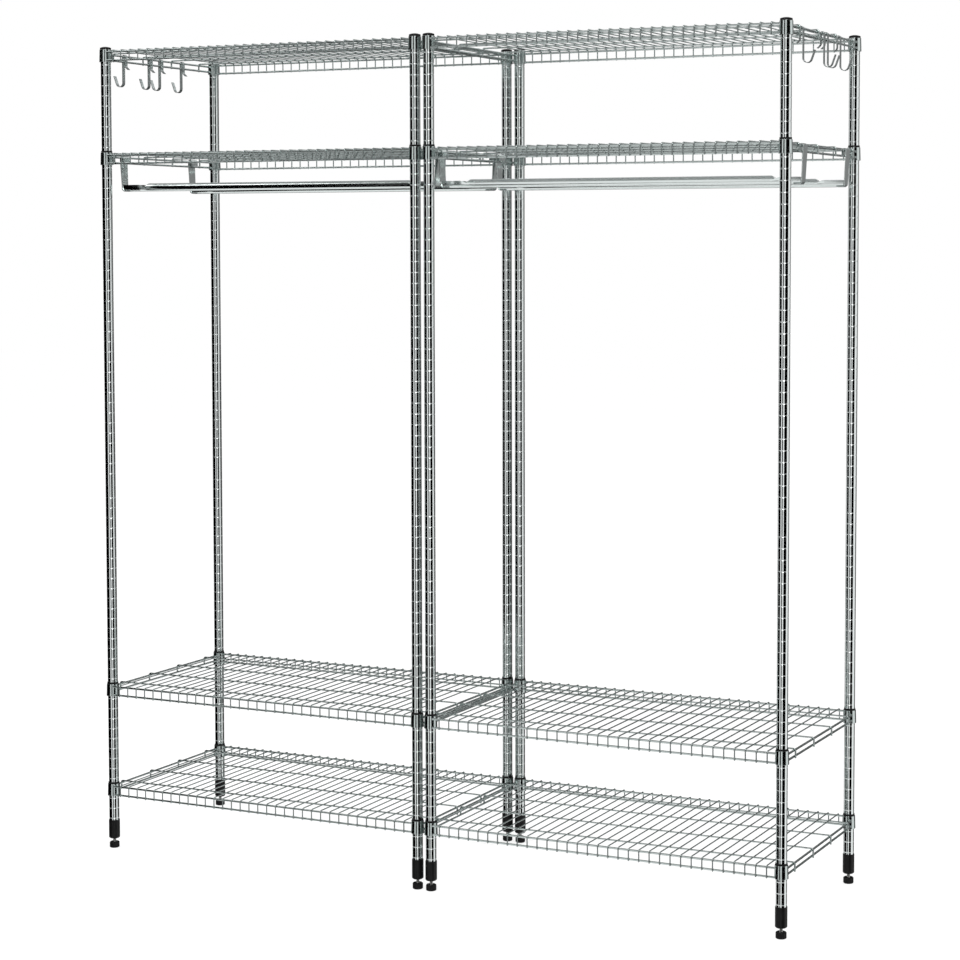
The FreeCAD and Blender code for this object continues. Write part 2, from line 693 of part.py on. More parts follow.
def foot_pad():
    """Fluted levelling pad with a blind hole for the stud, standing on z = 0."""
    body = new_body("foot_pad")
    radius = "(pad_diameter / 2)"
    hole = "(stud_diameter / 2 + running_gap)"
    turned(body, "pad", sketch_on(body, "pad_outline", "XZ_Plane"), [
        ("0", "0"),
        (f"{radius} - pad_chamfer", "0"),
        (radius, "pad_chamfer"),
        (radius, "pad_height - pad_chamfer"),
        (f"{radius} - pad_chamfer", "pad_height"),
        (hole, "pad_height"),
        (hole, "pad_floor"),
        ("0", "pad_floor"),
    ])
    outline = sketch_on(body, "flute_outline", "XY_Plane", out="flute_floor")
    circle(outline, f"{radius} + flute_diameter / 4", "0", "flute_diameter")
    flute = body.newObject("PartDesign::Pocket", "flute")
    flute.Profile = outline
    flute.Reversed = True
    flute.setExpression("Length", formula("pad_height - flute_floor + cut_overrun"))
    body.Tip = flute
    flutes = body.newObject("PartDesign::PolarPattern", "flutes")
    flutes.Originals = [flute]
    flutes.Axis = (outline, ["N_Axis"])
    flutes.Angle = 360
    flutes.setExpression("Occurrences", formula("flute_count"))
    body.Tip = flutes
    return body


def signed(sign, text):
    """A formula with a sign in front."""
    return text if sign > 0 else f"-{text}"


# One model of each piece
LOWER_POST = lower_post()
UPPER_POST = upper_post()
PLUGS = joining_plugs()
CAPS = post_caps()
SLEEVES = sleeves()
SHELF = shelf()
RAIL = clothes_rail()
HOOK = wire_hook()
SOCKETS = foot_sockets()
STUD = foot_stud()
PAD = foot_pad()

# The assembly: every piece at its place in each bay
pieces = []
for bay, bay_sign in BAYS.items():
    centre_x = signed(bay_sign, bay_x)
    for corner, (x_sign, y_sign) in CORNERS.items():
        where = f"{bay}_bay_{corner}"
        x = f"{centre_x} + {signed(x_sign, half_x)}"
        y = signed(y_sign, half_y)
        pieces.append(copy_of(LOWER_POST, f"post_lower_{where}", x, y, post_z))
        pieces.append(copy_of(UPPER_POST, f"post_upper_{where}", x, y, joint_z))
        pieces.append(copy_of(STUD, f"foot_stud_{where}", x, y, "pad_floor + running_gap"))
        pieces.append(copy_of(PAD, f"foot_pad_{where}", x, y))
    pieces.append(copy_of(PLUGS, f"post_plugs_{bay}_bay", centre_x, "0", joint_z))
    pieces.append(copy_of(CAPS, f"post_caps_{bay}_bay", centre_x, "0", top_z))
    pieces.append(copy_of(SOCKETS, f"foot_sockets_{bay}_bay", centre_x, "0", socket_z))
    for level, rim in LEVELS.items():
        pieces.append(copy_of(SHELF, f"shelf_{bay}_bay_{level}", centre_x, "0", f"{rim} - sleeve_rise"))
    level_sleeves = doc.addObject("Part::Compound", f"shelf_sleeves_{bay}_bay")
    level_sleeves.Links = [
        copy_of(SLEEVES, f"sleeves_{bay}_bay_{level}", centre_x, "0", rim) for level, rim in LEVELS.items()
    ]
    pieces.append(level_sleeves)
    for row, y_sign in (("front", -1), ("rear", 1)):
        y = signed(y_sign, f"({half_y} - long_wire_margin - rail_inset)")
        label = f"clothes_rail_{bay}_bay_{row}"
        pieces.append(copy_of(RAIL, label, centre_x, y, f"{hanging_rim} - sleeve_rise"))
for side, sign, turn, shares in (("left", -1, 180, LEFT_HOOK_SHARES), ("right", 1, 0, RIGHT_HOOK_SHARES)):
    x = f"{signed(sign, bay_x)} + {signed(sign, side_x)}"
    for order, share in enumerate(shares, start=1):
        pieces.append(copy_of(HOOK, f"hook_{side}_{order}", x, f"{share} * {half_y}",
                              f"{top_rim} - sleeve_rise + {side_high}", turn))

doc.recompute()

for item in doc.Objects:
    if "Invalid" in item.State or "Error" in item.State:
        raise RuntimeError(f"{item.Label} failed: {item.State}")
for piece in pieces:
    if piece.Shape.isNull() or not piece.Shape.isValid():
        raise RuntimeError(f"{piece.Label} has no valid shape")

os.makedirs("parts", exist_ok=True)
for piece in pieces:
    piece.Shape.exportStep(f"parts/{piece.Label}.step")
    print(piece.Label, len(piece.Shape.Solids), "solids", round(piece.Shape.Volume), "mm3")
print(len(pieces), "nodes")
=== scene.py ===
# %% [markdown]
# Wire shelving with clothes rails, dressed for a studio picture. The object is two free-standing
# bays: bright steel posts with a groove every inch, welded wire shelves that wedge on split plastic
# sleeves, hanging rails with pressed ends, loose strip hooks and screw feet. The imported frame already
# has every piece at its place and size. It is meshed coarsely, though, and polished metal shows each
# facet, so every visible piece is worked out again here as a fine surface on the same sizes.

# %% Load the fixed frame
import json
import math
import bpy
import numpy as np
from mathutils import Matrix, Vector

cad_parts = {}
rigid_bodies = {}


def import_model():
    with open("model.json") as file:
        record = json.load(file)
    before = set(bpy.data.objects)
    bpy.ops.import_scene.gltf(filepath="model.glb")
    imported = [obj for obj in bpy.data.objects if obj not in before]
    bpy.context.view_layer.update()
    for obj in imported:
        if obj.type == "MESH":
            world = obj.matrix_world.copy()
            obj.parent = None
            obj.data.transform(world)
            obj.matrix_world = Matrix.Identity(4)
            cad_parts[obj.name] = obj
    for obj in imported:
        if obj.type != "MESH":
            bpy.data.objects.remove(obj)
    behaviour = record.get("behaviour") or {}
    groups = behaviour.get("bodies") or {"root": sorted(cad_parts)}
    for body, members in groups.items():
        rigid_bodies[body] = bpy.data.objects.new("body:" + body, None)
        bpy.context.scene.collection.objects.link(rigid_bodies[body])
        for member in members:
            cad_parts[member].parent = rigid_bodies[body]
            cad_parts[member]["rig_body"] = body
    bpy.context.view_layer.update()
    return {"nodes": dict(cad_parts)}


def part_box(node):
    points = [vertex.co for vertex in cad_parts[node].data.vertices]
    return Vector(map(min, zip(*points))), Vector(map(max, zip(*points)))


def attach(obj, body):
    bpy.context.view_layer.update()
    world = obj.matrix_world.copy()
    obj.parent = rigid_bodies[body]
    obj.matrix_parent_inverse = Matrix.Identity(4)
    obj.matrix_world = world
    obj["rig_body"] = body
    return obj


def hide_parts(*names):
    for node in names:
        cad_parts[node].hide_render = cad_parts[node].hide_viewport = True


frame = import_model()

MM = 0.001
node_names = sorted(frame["nodes"])

# %% [markdown]
# A node's box says where its piece sits. Pieces are drawn in millimetres about their own reference
# point, the way they would lie on a bench, and then moved to that place, so one drawing serves all
# copies of a piece.

# %% Places from the frame


def middle(node):
    """Middle of a node's box, in millimetres."""
    low, high = (np.array(corner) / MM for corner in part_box(node))
    return (low + high) / 2


def bottom_of(node):
    """Lowest height of a node, in millimetres."""
    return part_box(node)[0][2] / MM


def top_of(node):
    """Greatest height of a node, in millimetres."""
    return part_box(node)[1][2] / MM


def starting(words):
    """Names of the nodes that start with these words."""
    return [name for name in node_names if name.startswith(words)]


BAYS = ("left", "right")
bay_middle = {bay: middle(f"shelf_{bay}_bay_top") for bay in BAYS}
post_offsets = np.array([middle(name) - bay_middle["left"] for name in starting("post_lower_left_bay")])
post_offsets[:, 2] = 0
POST_X, POST_Y = np.abs(post_offsets[0, :2])
print("post axes", round(POST_X, 2), "and", round(POST_Y, 2), "mm from the middle of a bay")

# %% [markdown]
# Every surface here is a grid: rows run along a piece and columns run round it. Turning a profile
# gives round pieces, and carrying a section along a path gives wires and bent strips. A modelling
# tool could spin or bevel curves, but working in whole arrays keeps each vertex where a formula
# says, and one place can add what the finishes need: each point also keeps where it lay on the
# straight, undrawn stock, so that drawing marks later follow every bend of the wire.

# %% Grids, turned pieces and carried sections


class Skin:
    """A surface: points, faces grouped by corner count, and each point's place on the stock."""

    def __init__(self, points, faces, stock):
        self.points = np.asarray(points, float).reshape(-1, 3)
        self.faces = faces
        self.stock = np.asarray(stock, float).reshape(-1, 3)

    def at(self, places):
        """Copies of the surface, one moved by each of the places."""
        places = np.asarray(places, float).reshape(-1, 3)
        count = len(self.points)
        shift = np.arange(len(places))[:, None, None] * count
        faces = [(face + shift).reshape(-1, face.shape[1]) for face in self.faces]
        return Skin(self.points + places[:, None], faces, np.tile(self.stock, (len(places), 1)))

    def __add__(self, other):
        """Both surfaces as one."""
        moved = [face + len(self.points) for face in other.faces]
        points = np.vstack([self.points, other.points])
        return Skin(points, self.faces + moved, np.vstack([self.stock, other.stock]))


def cells(rows, columns, close_rows=False, close_columns=True):
    """Corners of each cell of a grid, row by row; a closed direction joins its end to its start."""
    row = np.arange(rows if close_rows else rows - 1)[:, None]
    column = np.arange(columns if close_columns else columns - 1)
    here = row * columns
    there = (row + 1) % rows * columns
    beside = (column + 1) % columns
    corners = np.broadcast_arrays(here + column, here + beside, there + beside, there + column)
    return np.stack(corners, axis=-1).reshape(-1, 4)


def end_caps(rows, columns):
    """One many-sided face on the first row of a grid and one on its last row."""
    first = np.arange(columns)[::-1]
    last = (rows - 1) * columns + np.arange(columns)
    return np.stack([first, last])


def turned(profile, sides, ring=False):
    """Turn (radius, height) pairs about the upright axis: x = r cos a, y = r sin a, z = height.

    A ring's profile is a loop; any other profile ends in a flat face at each end.
    """
    profile = np.asarray(profile, float)
    angle = np.linspace(0, 2 * np.pi, sides, endpoint=False)
    radius, height = profile[:, :1], profile[:, 1:]
    grid = np.broadcast_arrays(radius * np.cos(angle), radius * np.sin(angle), height)
    points = np.stack(grid, axis=-1)
    faces = [cells(len(profile), sides, close_rows=ring)]
    if not ring:
        faces.append(end_caps(len(profile), sides))
    return Skin(points, faces, points)


def carried(path, section, across):
    """Carry a closed section along a path in a plane: point = path + u * side + v * across.

    Across is square to the plane, and side is across x heading, with the heading at a bend half way
    between its two runs. The section may differ from row to row.
    """
    path = np.asarray(path, float)
    across = np.asarray(across, float)
    runs = np.diff(path, axis=0)
    lengths = np.linalg.norm(runs, axis=1)
    runs = runs / lengths[:, None]
    heading = np.vstack([runs[:1], runs[:-1] + runs[1:], runs[-1:]])
    heading /= np.linalg.norm(heading, axis=1)[:, None]
    side = np.cross(across, heading)
    section = np.broadcast_to(section, (len(path),) + np.shape(section)[-2:])
    points = path[:, None] + section[..., :1] * side[:, None] + section[..., 1:] * across
    walked = np.broadcast_to(np.append(0, np.cumsum(lengths))[:, None, None], section[..., :1].shape)
    rows, columns = section.shape[:2]
    faces = [cells(rows, columns), end_caps(rows, columns)]
    return Skin(points, faces, np.concatenate([section, walked], axis=-1))


EASE = 0.4
BEND_STEP = math.radians(13)


def bent(corners, radii):
    """Path through corners, with each inner corner rounded by an arc that touches both of its runs.

    A spare point just before and after each arc keeps the straight runs straight in smooth shading.
    """
    corners = np.asarray(corners, float)
    arcs = [corners[:1]]
    for before, corner, after, radius in zip(corners, corners[1:], corners[2:], radii):
        heading = (corner - before) / np.linalg.norm(corner - before)
        leaving = (after - corner) / np.linalg.norm(after - corner)
        turn = math.atan2(heading[0] * leaving[1] - heading[1] * leaving[0], heading @ leaving)
        inward = np.array([-heading[1], heading[0]]) * np.sign(turn)
        start = corner - heading * radius * math.tan(abs(turn) / 2)
        angle = np.linspace(0, abs(turn), 2 + int(abs(turn) / BEND_STEP))[:, None]
        arcs.append(start + radius * (heading * np.sin(angle) + inward * (1 - np.cos(angle))))
    arcs.append(corners[-1:])
    stretches = [arcs[0]]
    for earlier, later in zip(arcs, arcs[1:]):
        run = later[0] - earlier[-1]
        length = np.linalg.norm(run)
        meets = length < EASE / 100
        if length > 3 * EASE and len(earlier) > 1:
            stretches.append([earlier[-1] + run / length * EASE])
        if length > 3 * EASE and len(later) > 1:
            stretches.append([later[0] - run / length * EASE])
        stretches.append(later[1:] if meets else later)
    return np.concatenate(stretches)


def round_section(radius, sides):
    """Points round a circle."""
    angle = np.linspace(0, 2 * np.pi, sides, endpoint=False)[:, None]
    return radius * np.hstack([np.cos(angle), np.sin(angle)])


def on_plane(path, first, second):
    """Lay a flat path into space along two axes."""
    return path[:, :1] * np.array(first, float) + path[:, 1:] * np.array(second, float)


X_AXIS, Y_AXIS, Z_AXIS = np.eye(3)
print("surface helpers ready")

# %% [markdown]
# A finish is a node tree, and most of it is arithmetic. Wrapping a socket in a small class with
# operators lets the arithmetic be written as a formula. All other nodes come from one method.

# %% Formulas for finishes


class Signal:
    """An output socket whose +, -, * and / add Math nodes to its tree."""

    def __init__(self, finish, socket):
        self.finish = finish
        self.socket = socket

    def math(self, operation, first, second):
        """A Math node of that operation."""
        return self.finish.node("ShaderNodeMath", {"operation": operation}, {0: first, 1: second})

    def __add__(self, other):
        return self.math("ADD", self, other)

    __radd__ = __add__

    def __sub__(self, other):
        return self.math("SUBTRACT", self, other)

    def __mul__(self, other):
        return self.math("MULTIPLY", self, other)

    __rmul__ = __mul__

    def __truediv__(self, other):
        return self.math("DIVIDE", self, other)


class Finish:
    """A node tree under construction."""

    def __init__(self, tree):
        self.tree = tree
        tree.nodes.clear()

    def node(self, kind, settings, sockets, output=0):
        """Add a node: set it up first, then its sockets, and give one of its outputs."""
        node = self.tree.nodes.new(kind)
        for name, value in settings.items():
            setattr(node, name, value)
        for name, value in sockets.items():
            if isinstance(value, Signal):
                self.tree.links.new(value.socket, node.inputs[name])
            else:
                node.inputs[name].default_value = value
        return Signal(self, node.outputs[output]) if node.outputs else None

    def stock(self, across, along):
        """A point's place on the straight stock, with its axes stretched."""
        place = self.node("ShaderNodeAttribute", {"attribute_name": "stock"}, {}, "Vector")
        return self.node("ShaderNodeMapping", {}, {"Vector": place, "Scale": (across, across, along)})

    def bench(self):
        """A point's place on the piece, as it lies on the bench."""
        return self.node("ShaderNodeAttribute", {"attribute_name": "bench"}, {}, "Vector")

    def noise(self, vector, scale, detail=2.0):
        """Smooth noise between 0 and 1."""
        sockets = {"Vector": vector, "Scale": scale, "Detail": detail}
        return self.node("ShaderNodeTexNoise", {}, sockets, "Fac")

    def blend(self, share, first, second):
        """A colour between two others."""
        settings = {"data_type": "RGBA"}
        sockets = {0: share, 6: first, 7: second}
        return self.node("ShaderNodeMix", settings, sockets, 2)

    def bump(self, height, distance):
        """A normal that follows a height, where a height of 1 stands for that many metres."""
        return self.node("ShaderNodeBump", {}, {"Height": height, "Distance": distance, "Strength": 1.0})

    def show(self, shader, kind="ShaderNodeOutputMaterial"):
        """Send a shader to the tree's output."""
        self.node(kind, {}, {"Surface": shader})


def new_finish(name):
    """A material with an empty tree, and the tree's formulas."""
    material = bpy.data.materials.new(name)
    material.use_nodes = True
    return material, Finish(material.node_tree)


print("formula helpers ready")

# %% [markdown]
# The metal is zinc on steel, bright enough to mirror the room, a little green in its greys. Three
# things break up a plain mirror: fine drawing marks along the stock, broad cloudy patches where the
# plating is thinner, and a scatter of dull handling spots. All three feed roughness, the marks and the
# clouds also feed colour, and the drawing marks also feed a very shallow bump.

# %% Bright zinc

MARK_SCALE = (1500.0, 22.0)
MARK_DEPTH = 4e-6
CLOUD_SCALE = 14.0
SPOT_SCALE = 130.0
SPOT_EDGE = (0.10, 0.24)
TONE_SHARES = {"clouds": 0.7, "marks": 0.3}
ROUGH_SHARES = {"clouds": 0.5, "marks": 0.35, "spots": 0.15}
WELD_SHADE = 0.55
WELD_DEPTH_SHARE = 0.45
WELD_DULLNESS = 0.12


def bright_zinc(name, light, deep, gloss, dullness, weld=None):
    """Plated metal: colour from deep to light, roughness gloss plus shares of dullness."""
    material, finish = new_finish(name)
    marks = finish.noise(finish.stock(*MARK_SCALE), 1.0, 3.0)
    clouds = finish.noise(finish.bench(), CLOUD_SCALE, 4.0)
    cells_of_spots = {"Vector": finish.bench(), "Scale": SPOT_SCALE}
    spots = finish.node("ShaderNodeTexVoronoi", {}, cells_of_spots, "Distance")
    near_edge, far_edge = SPOT_EDGE
    spotted = finish.node("ShaderNodeMapRange", {}, {0: spots, 1: near_edge, 2: far_edge, 3: 1.0, 4: 0.0})
    tone = clouds * TONE_SHARES["clouds"] + marks * TONE_SHARES["marks"]
    colour = finish.blend(tone, (*deep, 1), (*light, 1))
    wear = clouds * ROUGH_SHARES["clouds"] + marks * ROUGH_SHARES["marks"]
    wear = wear + spotted * ROUGH_SHARES["spots"]
    rough = gloss + dullness * wear
    if weld is not None:
        heat = weld(finish)
        burnt = (*(WELD_DEPTH_SHARE * value for value in deep), 1)
        colour = finish.blend(heat * WELD_SHADE, colour, burnt)
        rough = rough + heat * WELD_DULLNESS
    finish.show(finish.node("ShaderNodeBsdfPrincipled", {}, {
        "Base Color": colour,
        "Metallic": 1.0,
        "Roughness": rough,
        "Normal": finish.bump(marks, MARK_DEPTH),
    }))
    return material


post_zinc = bright_zinc("post_zinc", (0.83, 0.86, 0.86), (0.70, 0.75, 0.74), 0.05, 0.10)
rail_zinc = bright_zinc("rail_zinc", (0.80, 0.84, 0.83), (0.64, 0.70, 0.69), 0.07, 0.14)
hook_zinc = bright_zinc("hook_zinc", (0.66, 0.70, 0.70), (0.46, 0.51, 0.50), 0.12, 0.18)
print("bright zinc for posts, rails and hooks")

# %% [markdown]
# The posts are tubes rolled with a groove at every inch, which the sleeves' beads drop into. The
# grooves catch the light as pale ticks, so they have to be real shape. Each is a shallow cosine
# hollow, r = R - depth * (1 + cos(pi u)) / 2, where u runs from -1 to 1 across the groove, with a
# spare ring on both sides so that the long mirror between two grooves stays flat.

# %% Posts

POST_RADIUS = 12.5
POST_BORE = 11.3
POST_BEVEL = 0.5
POST_SIDES = 48
GROOVE_PITCH = 25.4
GROOVE_DEPTH = 0.5
GROOVE_REACH = 1.25
GROOVE_EASE = 0.5
GROOVE_MARGIN = 30.5
GROOVE_STEPS = 9
GROOVE_SPARE_SHARE = 0.05


def grooved_post(length, first, count, step):
    """A post tube from height 0 up, with grooves from the first one on."""
    share = np.linspace(-1, 1, GROOVE_STEPS)
    hollow = POST_RADIUS - GROOVE_DEPTH * (1 + np.cos(np.pi * share)) / 2
    across = np.concatenate([[-1 - GROOVE_EASE], share, [1 + GROOVE_EASE]]) * GROOVE_REACH
    radius = np.concatenate([[POST_RADIUS], hollow, [POST_RADIUS]])
    centres = np.sort(first + step * np.arange(count))
    heights = (centres[:, None] + across).ravel()
    outside = np.column_stack([np.tile(radius, count), heights])
    foot = [(POST_BORE, 0), (POST_RADIUS - POST_BEVEL, 0), (POST_RADIUS, POST_BEVEL)]
    head = [(POST_RADIUS, length - POST_BEVEL), (POST_RADIUS - POST_BEVEL, length), (POST_BORE, length)]
    return turned(np.vstack([foot, outside, head]), POST_SIDES, ring=True)


def groove_count(stretch):
    """How many grooves fit on a stretch, one at its start."""
    return int(math.floor(stretch / GROOVE_PITCH + GROOVE_SPARE_SHARE)) + 1


JOINT = top_of("post_lower_left_bay_front_left")
FOOT = bottom_of("post_lower_left_bay_front_left")
HEAD = top_of("post_upper_left_bay_front_left")
SOCKET_TOP = top_of("foot_sockets_left_bay")
lower_grooves = groove_count(JOINT - GROOVE_MARGIN - SOCKET_TOP)
upper_grooves = groove_count(HEAD - JOINT - GROOVE_MARGIN - GROOVE_PITCH / 2)
lower_post = grooved_post(JOINT - FOOT, JOINT - FOOT - GROOVE_MARGIN, lower_grooves, -GROOVE_PITCH)
upper_post = grooved_post(HEAD - JOINT, GROOVE_MARGIN, upper_grooves, GROOVE_PITCH)
print("posts with", lower_grooves, "and", upper_grooves, "grooves")

# %% [markdown]
# One function puts a finished surface in place of its coarse node: it makes the mesh, smooths it up
# to a real edge, ties it to the node's body, hides the node, and gives it the material it is handed.

# %% Dressing a node

EDGE_ANGLE = math.radians(38)


def vector_layer(mesh, name, values):
    """Keep one vector for each point of a mesh."""
    layer = mesh.attributes.new(name, "FLOAT_VECTOR", "POINT")
    layer.data.foreach_set("vector", np.ascontiguousarray(values, dtype=np.float32).ravel())


def dress(node, skin, place, material):
    """Show a surface in place of a node, at a place in millimetres."""
    mesh = bpy.data.meshes.new(f"{node}_surface")
    faces = [face for group in skin.faces for face in group.tolist()]
    mesh.from_pydata((skin.points + place) * MM, [], faces)
    vector_layer(mesh, "stock", skin.stock * MM)
    vector_layer(mesh, "bench", skin.points * MM)
    mesh.polygons.foreach_set("use_smooth", np.ones(len(mesh.polygons), dtype=bool))
    mesh.set_sharp_from_angle(angle=EDGE_ANGLE)
    mesh.materials.append(material)
    piece = bpy.data.objects.new(f"{node}_dressed", mesh)
    bpy.context.scene.collection.objects.link(piece)
    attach(piece, frame["nodes"][node]["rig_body"])
    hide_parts(node)
    return len(mesh.polygons)


def upright(node, height):
    """A place on a node's own upright axis, at a height."""
    return np.array([*middle(node)[:2], height])


def in_bay(bay, height):
    """A place on the upright axis in the middle of a bay, at a height."""
    return np.array([*bay_middle[bay][:2], height])


faces = sum(dress(node, lower_post, upright(node, FOOT), post_zinc) for node in starting("post_lower"))
faces += sum(dress(node, upper_post, upright(node, JOINT), post_zinc) for node in starting("post_upper"))
print("posts dressed with", faces, "faces")

# %% [markdown]
# Caps, sleeves, sockets and pads are black moulded plastic. Moulded black is never one flat colour:
# a fine spark-eroded grain breaks its sheen, and dust and handling lift the roughness in patches.

# %% Black mouldings

PIT_SCALE = 2600.0
PIT_DULLNESS = 0.10
PATCH_SCALE = 55.0
PATCH_DULLNESS = 0.22
MOULDED_SHEEN = 0.25


def black_moulding(name, colour, dusty, gloss, grain):
    """Moulded plastic: roughness from gloss up, colour from clean to dusty, and a fine grain."""
    material, finish = new_finish(name)
    pits = finish.noise(finish.bench(), PIT_SCALE, 2.0)
    patches = finish.noise(finish.bench(), PATCH_SCALE, 3.0)
    finish.show(finish.node("ShaderNodeBsdfPrincipled", {}, {
        "Base Color": finish.blend(patches * patches, (*colour, 1), (*dusty, 1)),
        "Roughness": gloss + PATCH_DULLNESS * patches + PIT_DULLNESS * pits,
        "Specular IOR Level": MOULDED_SHEEN,
        "Normal": finish.bump(pits, grain),
    }))
    return material


cap_black = black_moulding("cap_black", (0.004, 0.004, 0.004), (0.016, 0.016, 0.017), 0.20, 6e-6)
sleeve_black = black_moulding("sleeve_black", (0.003, 0.003, 0.003), (0.010, 0.010, 0.011), 0.34, 8e-6)
foot_black = black_moulding("foot_black", (0.003, 0.003, 0.003), (0.013, 0.013, 0.014), 0.22, 8e-6)
print("black mouldings for caps, sleeves and feet")

# %% [markdown]
# A cap is a low dome with a soft edge, on a stem that pushes into the tube. Its outline is a short
# list of corners, and the arcs between them come from the same rounding that bends the wires.

# %% Caps, sleeves and sockets

CAP_RADIUS = 13.25
CAP_EDGE = 1.4
CAP_HEIGHT = 4.0
CAP_STEM = 16.0
CAP_INSET = 0.5
CAP_LAP = 0.05
CAP_BENDS = (1.2, 0.2, 0.3, 0.5)
STEM_RADIUS = 11.25
DOME_RINGS = 9
POLE_RADIUS = 0.35
ROUND_SIDES = 44


def post_cap():
    """Cap with the post's end at height 0: a stem, an upright edge and a dome.

    The dome is a circle's arc from the edge to the crown: height = crown height - R + sqrt(R^2 - r^2).
    """
    crown = CAP_HEIGHT - CAP_EDGE
    dome_radius = (CAP_RADIUS**2 + crown**2) / (2 * crown)
    reach = np.linspace(CAP_RADIUS - CAP_INSET, POLE_RADIUS, DOME_RINGS)
    dome = np.column_stack([reach, CAP_HEIGHT - dome_radius + np.sqrt(dome_radius**2 - reach**2)])
    edge = bent([
        (POLE_RADIUS, -CAP_STEM),
        (STEM_RADIUS, -CAP_STEM),
        (STEM_RADIUS, 0),
        (CAP_RADIUS, 0),
        (CAP_RADIUS, CAP_EDGE + CAP_LAP),
        dome[0],
    ], CAP_BENDS)
    return turned(np.vstack([edge[:-1], dome]), ROUND_SIDES)


SLEEVE_RISE = 4.3
SLEEVE_LENGTH = 34.8
SLEEVE_TOP = 13.3
SLEEVE_LIP = 13.62
SLEEVE_LIP_DEPTH = 4.0
SLEEVE_FOOT = 14.3
SLEEVE_BORE = 12.55
SLEEVE_SPLIT = math.radians(4)
SLEEVE_STEPS = 23
SLEEVE_BENDS = (0.15, 0.3, 0.1, 0.1, 0.3, 0.15)


def sleeve_half():
    """Half of a split sleeve with its rim at height 0: a tapered wall turned through half a circle."""
    wall = bent([
        (SLEEVE_BORE, -SLEEVE_LENGTH / 2),
        (SLEEVE_BORE, -SLEEVE_LENGTH),
        (SLEEVE_FOOT, -SLEEVE_LENGTH),
        (SLEEVE_TOP, -SLEEVE_LIP_DEPTH),
        (SLEEVE_LIP, -SLEEVE_LIP_DEPTH),
        (SLEEVE_LIP, 0),
        (SLEEVE_BORE, 0),
        (SLEEVE_BORE, -SLEEVE_LENGTH / 3),
    ], SLEEVE_BENDS)
    angle = np.linspace(SLEEVE_SPLIT / 2, math.pi - SLEEVE_SPLIT / 2, SLEEVE_STEPS)
    grid = np.broadcast_arrays(wall[:, :1] * np.cos(angle), wall[:, :1] * np.sin(angle), wall[:, 1:])
    points = np.stack(grid, axis=-1)
    rows = len(wall)
    first = np.arange(rows) * SLEEVE_STEPS
    ends = np.stack([first, first[::-1] + SLEEVE_STEPS - 1])
    return Skin(points, [cells(rows, SLEEVE_STEPS, close_rows=True, close_columns=False), ends], points)


def turned_about(skin, angle):
    """The surface turned about the upright axis."""
    cosine, sine = math.cos(angle), math.sin(angle)
    spin = np.array([[cosine, sine, 0], [-sine, cosine, 0], [0, 0, 1]])
    return Skin(skin.points @ spin, skin.faces, skin.stock)


SOCKET_RADIUS = 13.75
SOCKET_HEIGHT = 47.0
SOCKET_FLOOR = 4.0
SOCKET_HOLE = 4.1
SOCKET_BOSS = 20.0
SOCKET_BEVEL = 2.4
SOCKET_BENDS = (0.5, 1.0, 1.2, 0.45, 0.2, 0.1, 0.1, 0.5, 0.5)


def foot_socket():
    """Socket with its underside at height 0: a cup round the post, with a bored boss inside the tube."""
    outline = bent([
        (SOCKET_HOLE, SOCKET_HEIGHT / 4),
        (SOCKET_HOLE, 0),
        (SOCKET_RADIUS - SOCKET_BEVEL, 0),
        (SOCKET_RADIUS, SOCKET_BEVEL),
        (SOCKET_RADIUS, SOCKET_HEIGHT),
        (SLEEVE_BORE, SOCKET_HEIGHT),
        (SLEEVE_BORE, SOCKET_FLOOR),
        (STEM_RADIUS, SOCKET_FLOOR),
        (STEM_RADIUS, SOCKET_FLOOR + SOCKET_BOSS),
        (SOCKET_HOLE, SOCKET_FLOOR + SOCKET_BOSS),
        (SOCKET_HOLE, SOCKET_HEIGHT / 3),
    ], SOCKET_BENDS)
    return turned(outline, ROUND_SIDES, ring=True)


cap = post_cap()
half = sleeve_half()
sleeve = half + turned_about(half, math.pi)
socket = foot_socket()
LEVELS = ("bottom", "lower", "hanging", "top")
faces = 0
for bay in BAYS:
    rims = [top_of(f"shelf_{bay}_bay_{level}") + SLEEVE_RISE for level in LEVELS]
    lifts = [place + Z_AXIS * rim for rim in rims for place in post_offsets]
    faces += dress(f"post_caps_{bay}_bay", cap.at(post_offsets), in_bay(bay, HEAD), cap_black)
    faces += dress(f"shelf_sleeves_{bay}_bay", sleeve.at(lifts), in_bay(bay, 0), sleeve_black)
    sockets = f"foot_sockets_{bay}_bay"
    faces += dress(sockets, socket.at(post_offsets), in_bay(bay, bottom_of(sockets)), foot_black)
print("caps, sleeves and sockets with", faces, "faces")

# %% [markdown]
# A shelf is one welded grille. Cross wires lie front to back over two rim wires on each side and
# bend down outside them, long wires run underneath and bend down over the side wires as ties, and a
# tapered collar closes each corner. Every wire is a circle carried along its own bent path.

# %% Wires of a shelf

RIM_WIRE = 2.5
CROSS_WIRE = 1.5
LONG_WIRE = 2.0
RIM_SIDES = 14
CROSS_SIDES = 10
LONG_SIDES = 12
RIM_OUT = 9.75
SIDE_OUT = 9.05
RIM_HEIGHTS = (-6.4, -27.4)
SIDE_HEIGHTS = (-10.25, -23.75)
CROSS_HEIGHT = -2.55
CROSS_END = -30.5
CROSS_BEND = 3.85
CROSS_PITCH = 25.4
CROSS_MARGIN = 29.0
LONG_HEIGHT = -5.9
LONG_END = -26.85
LONG_BEND = 4.35
LONG_COUNT = 4
LONG_MARGIN = 50.75
END_BEVEL_SHARE = 0.3


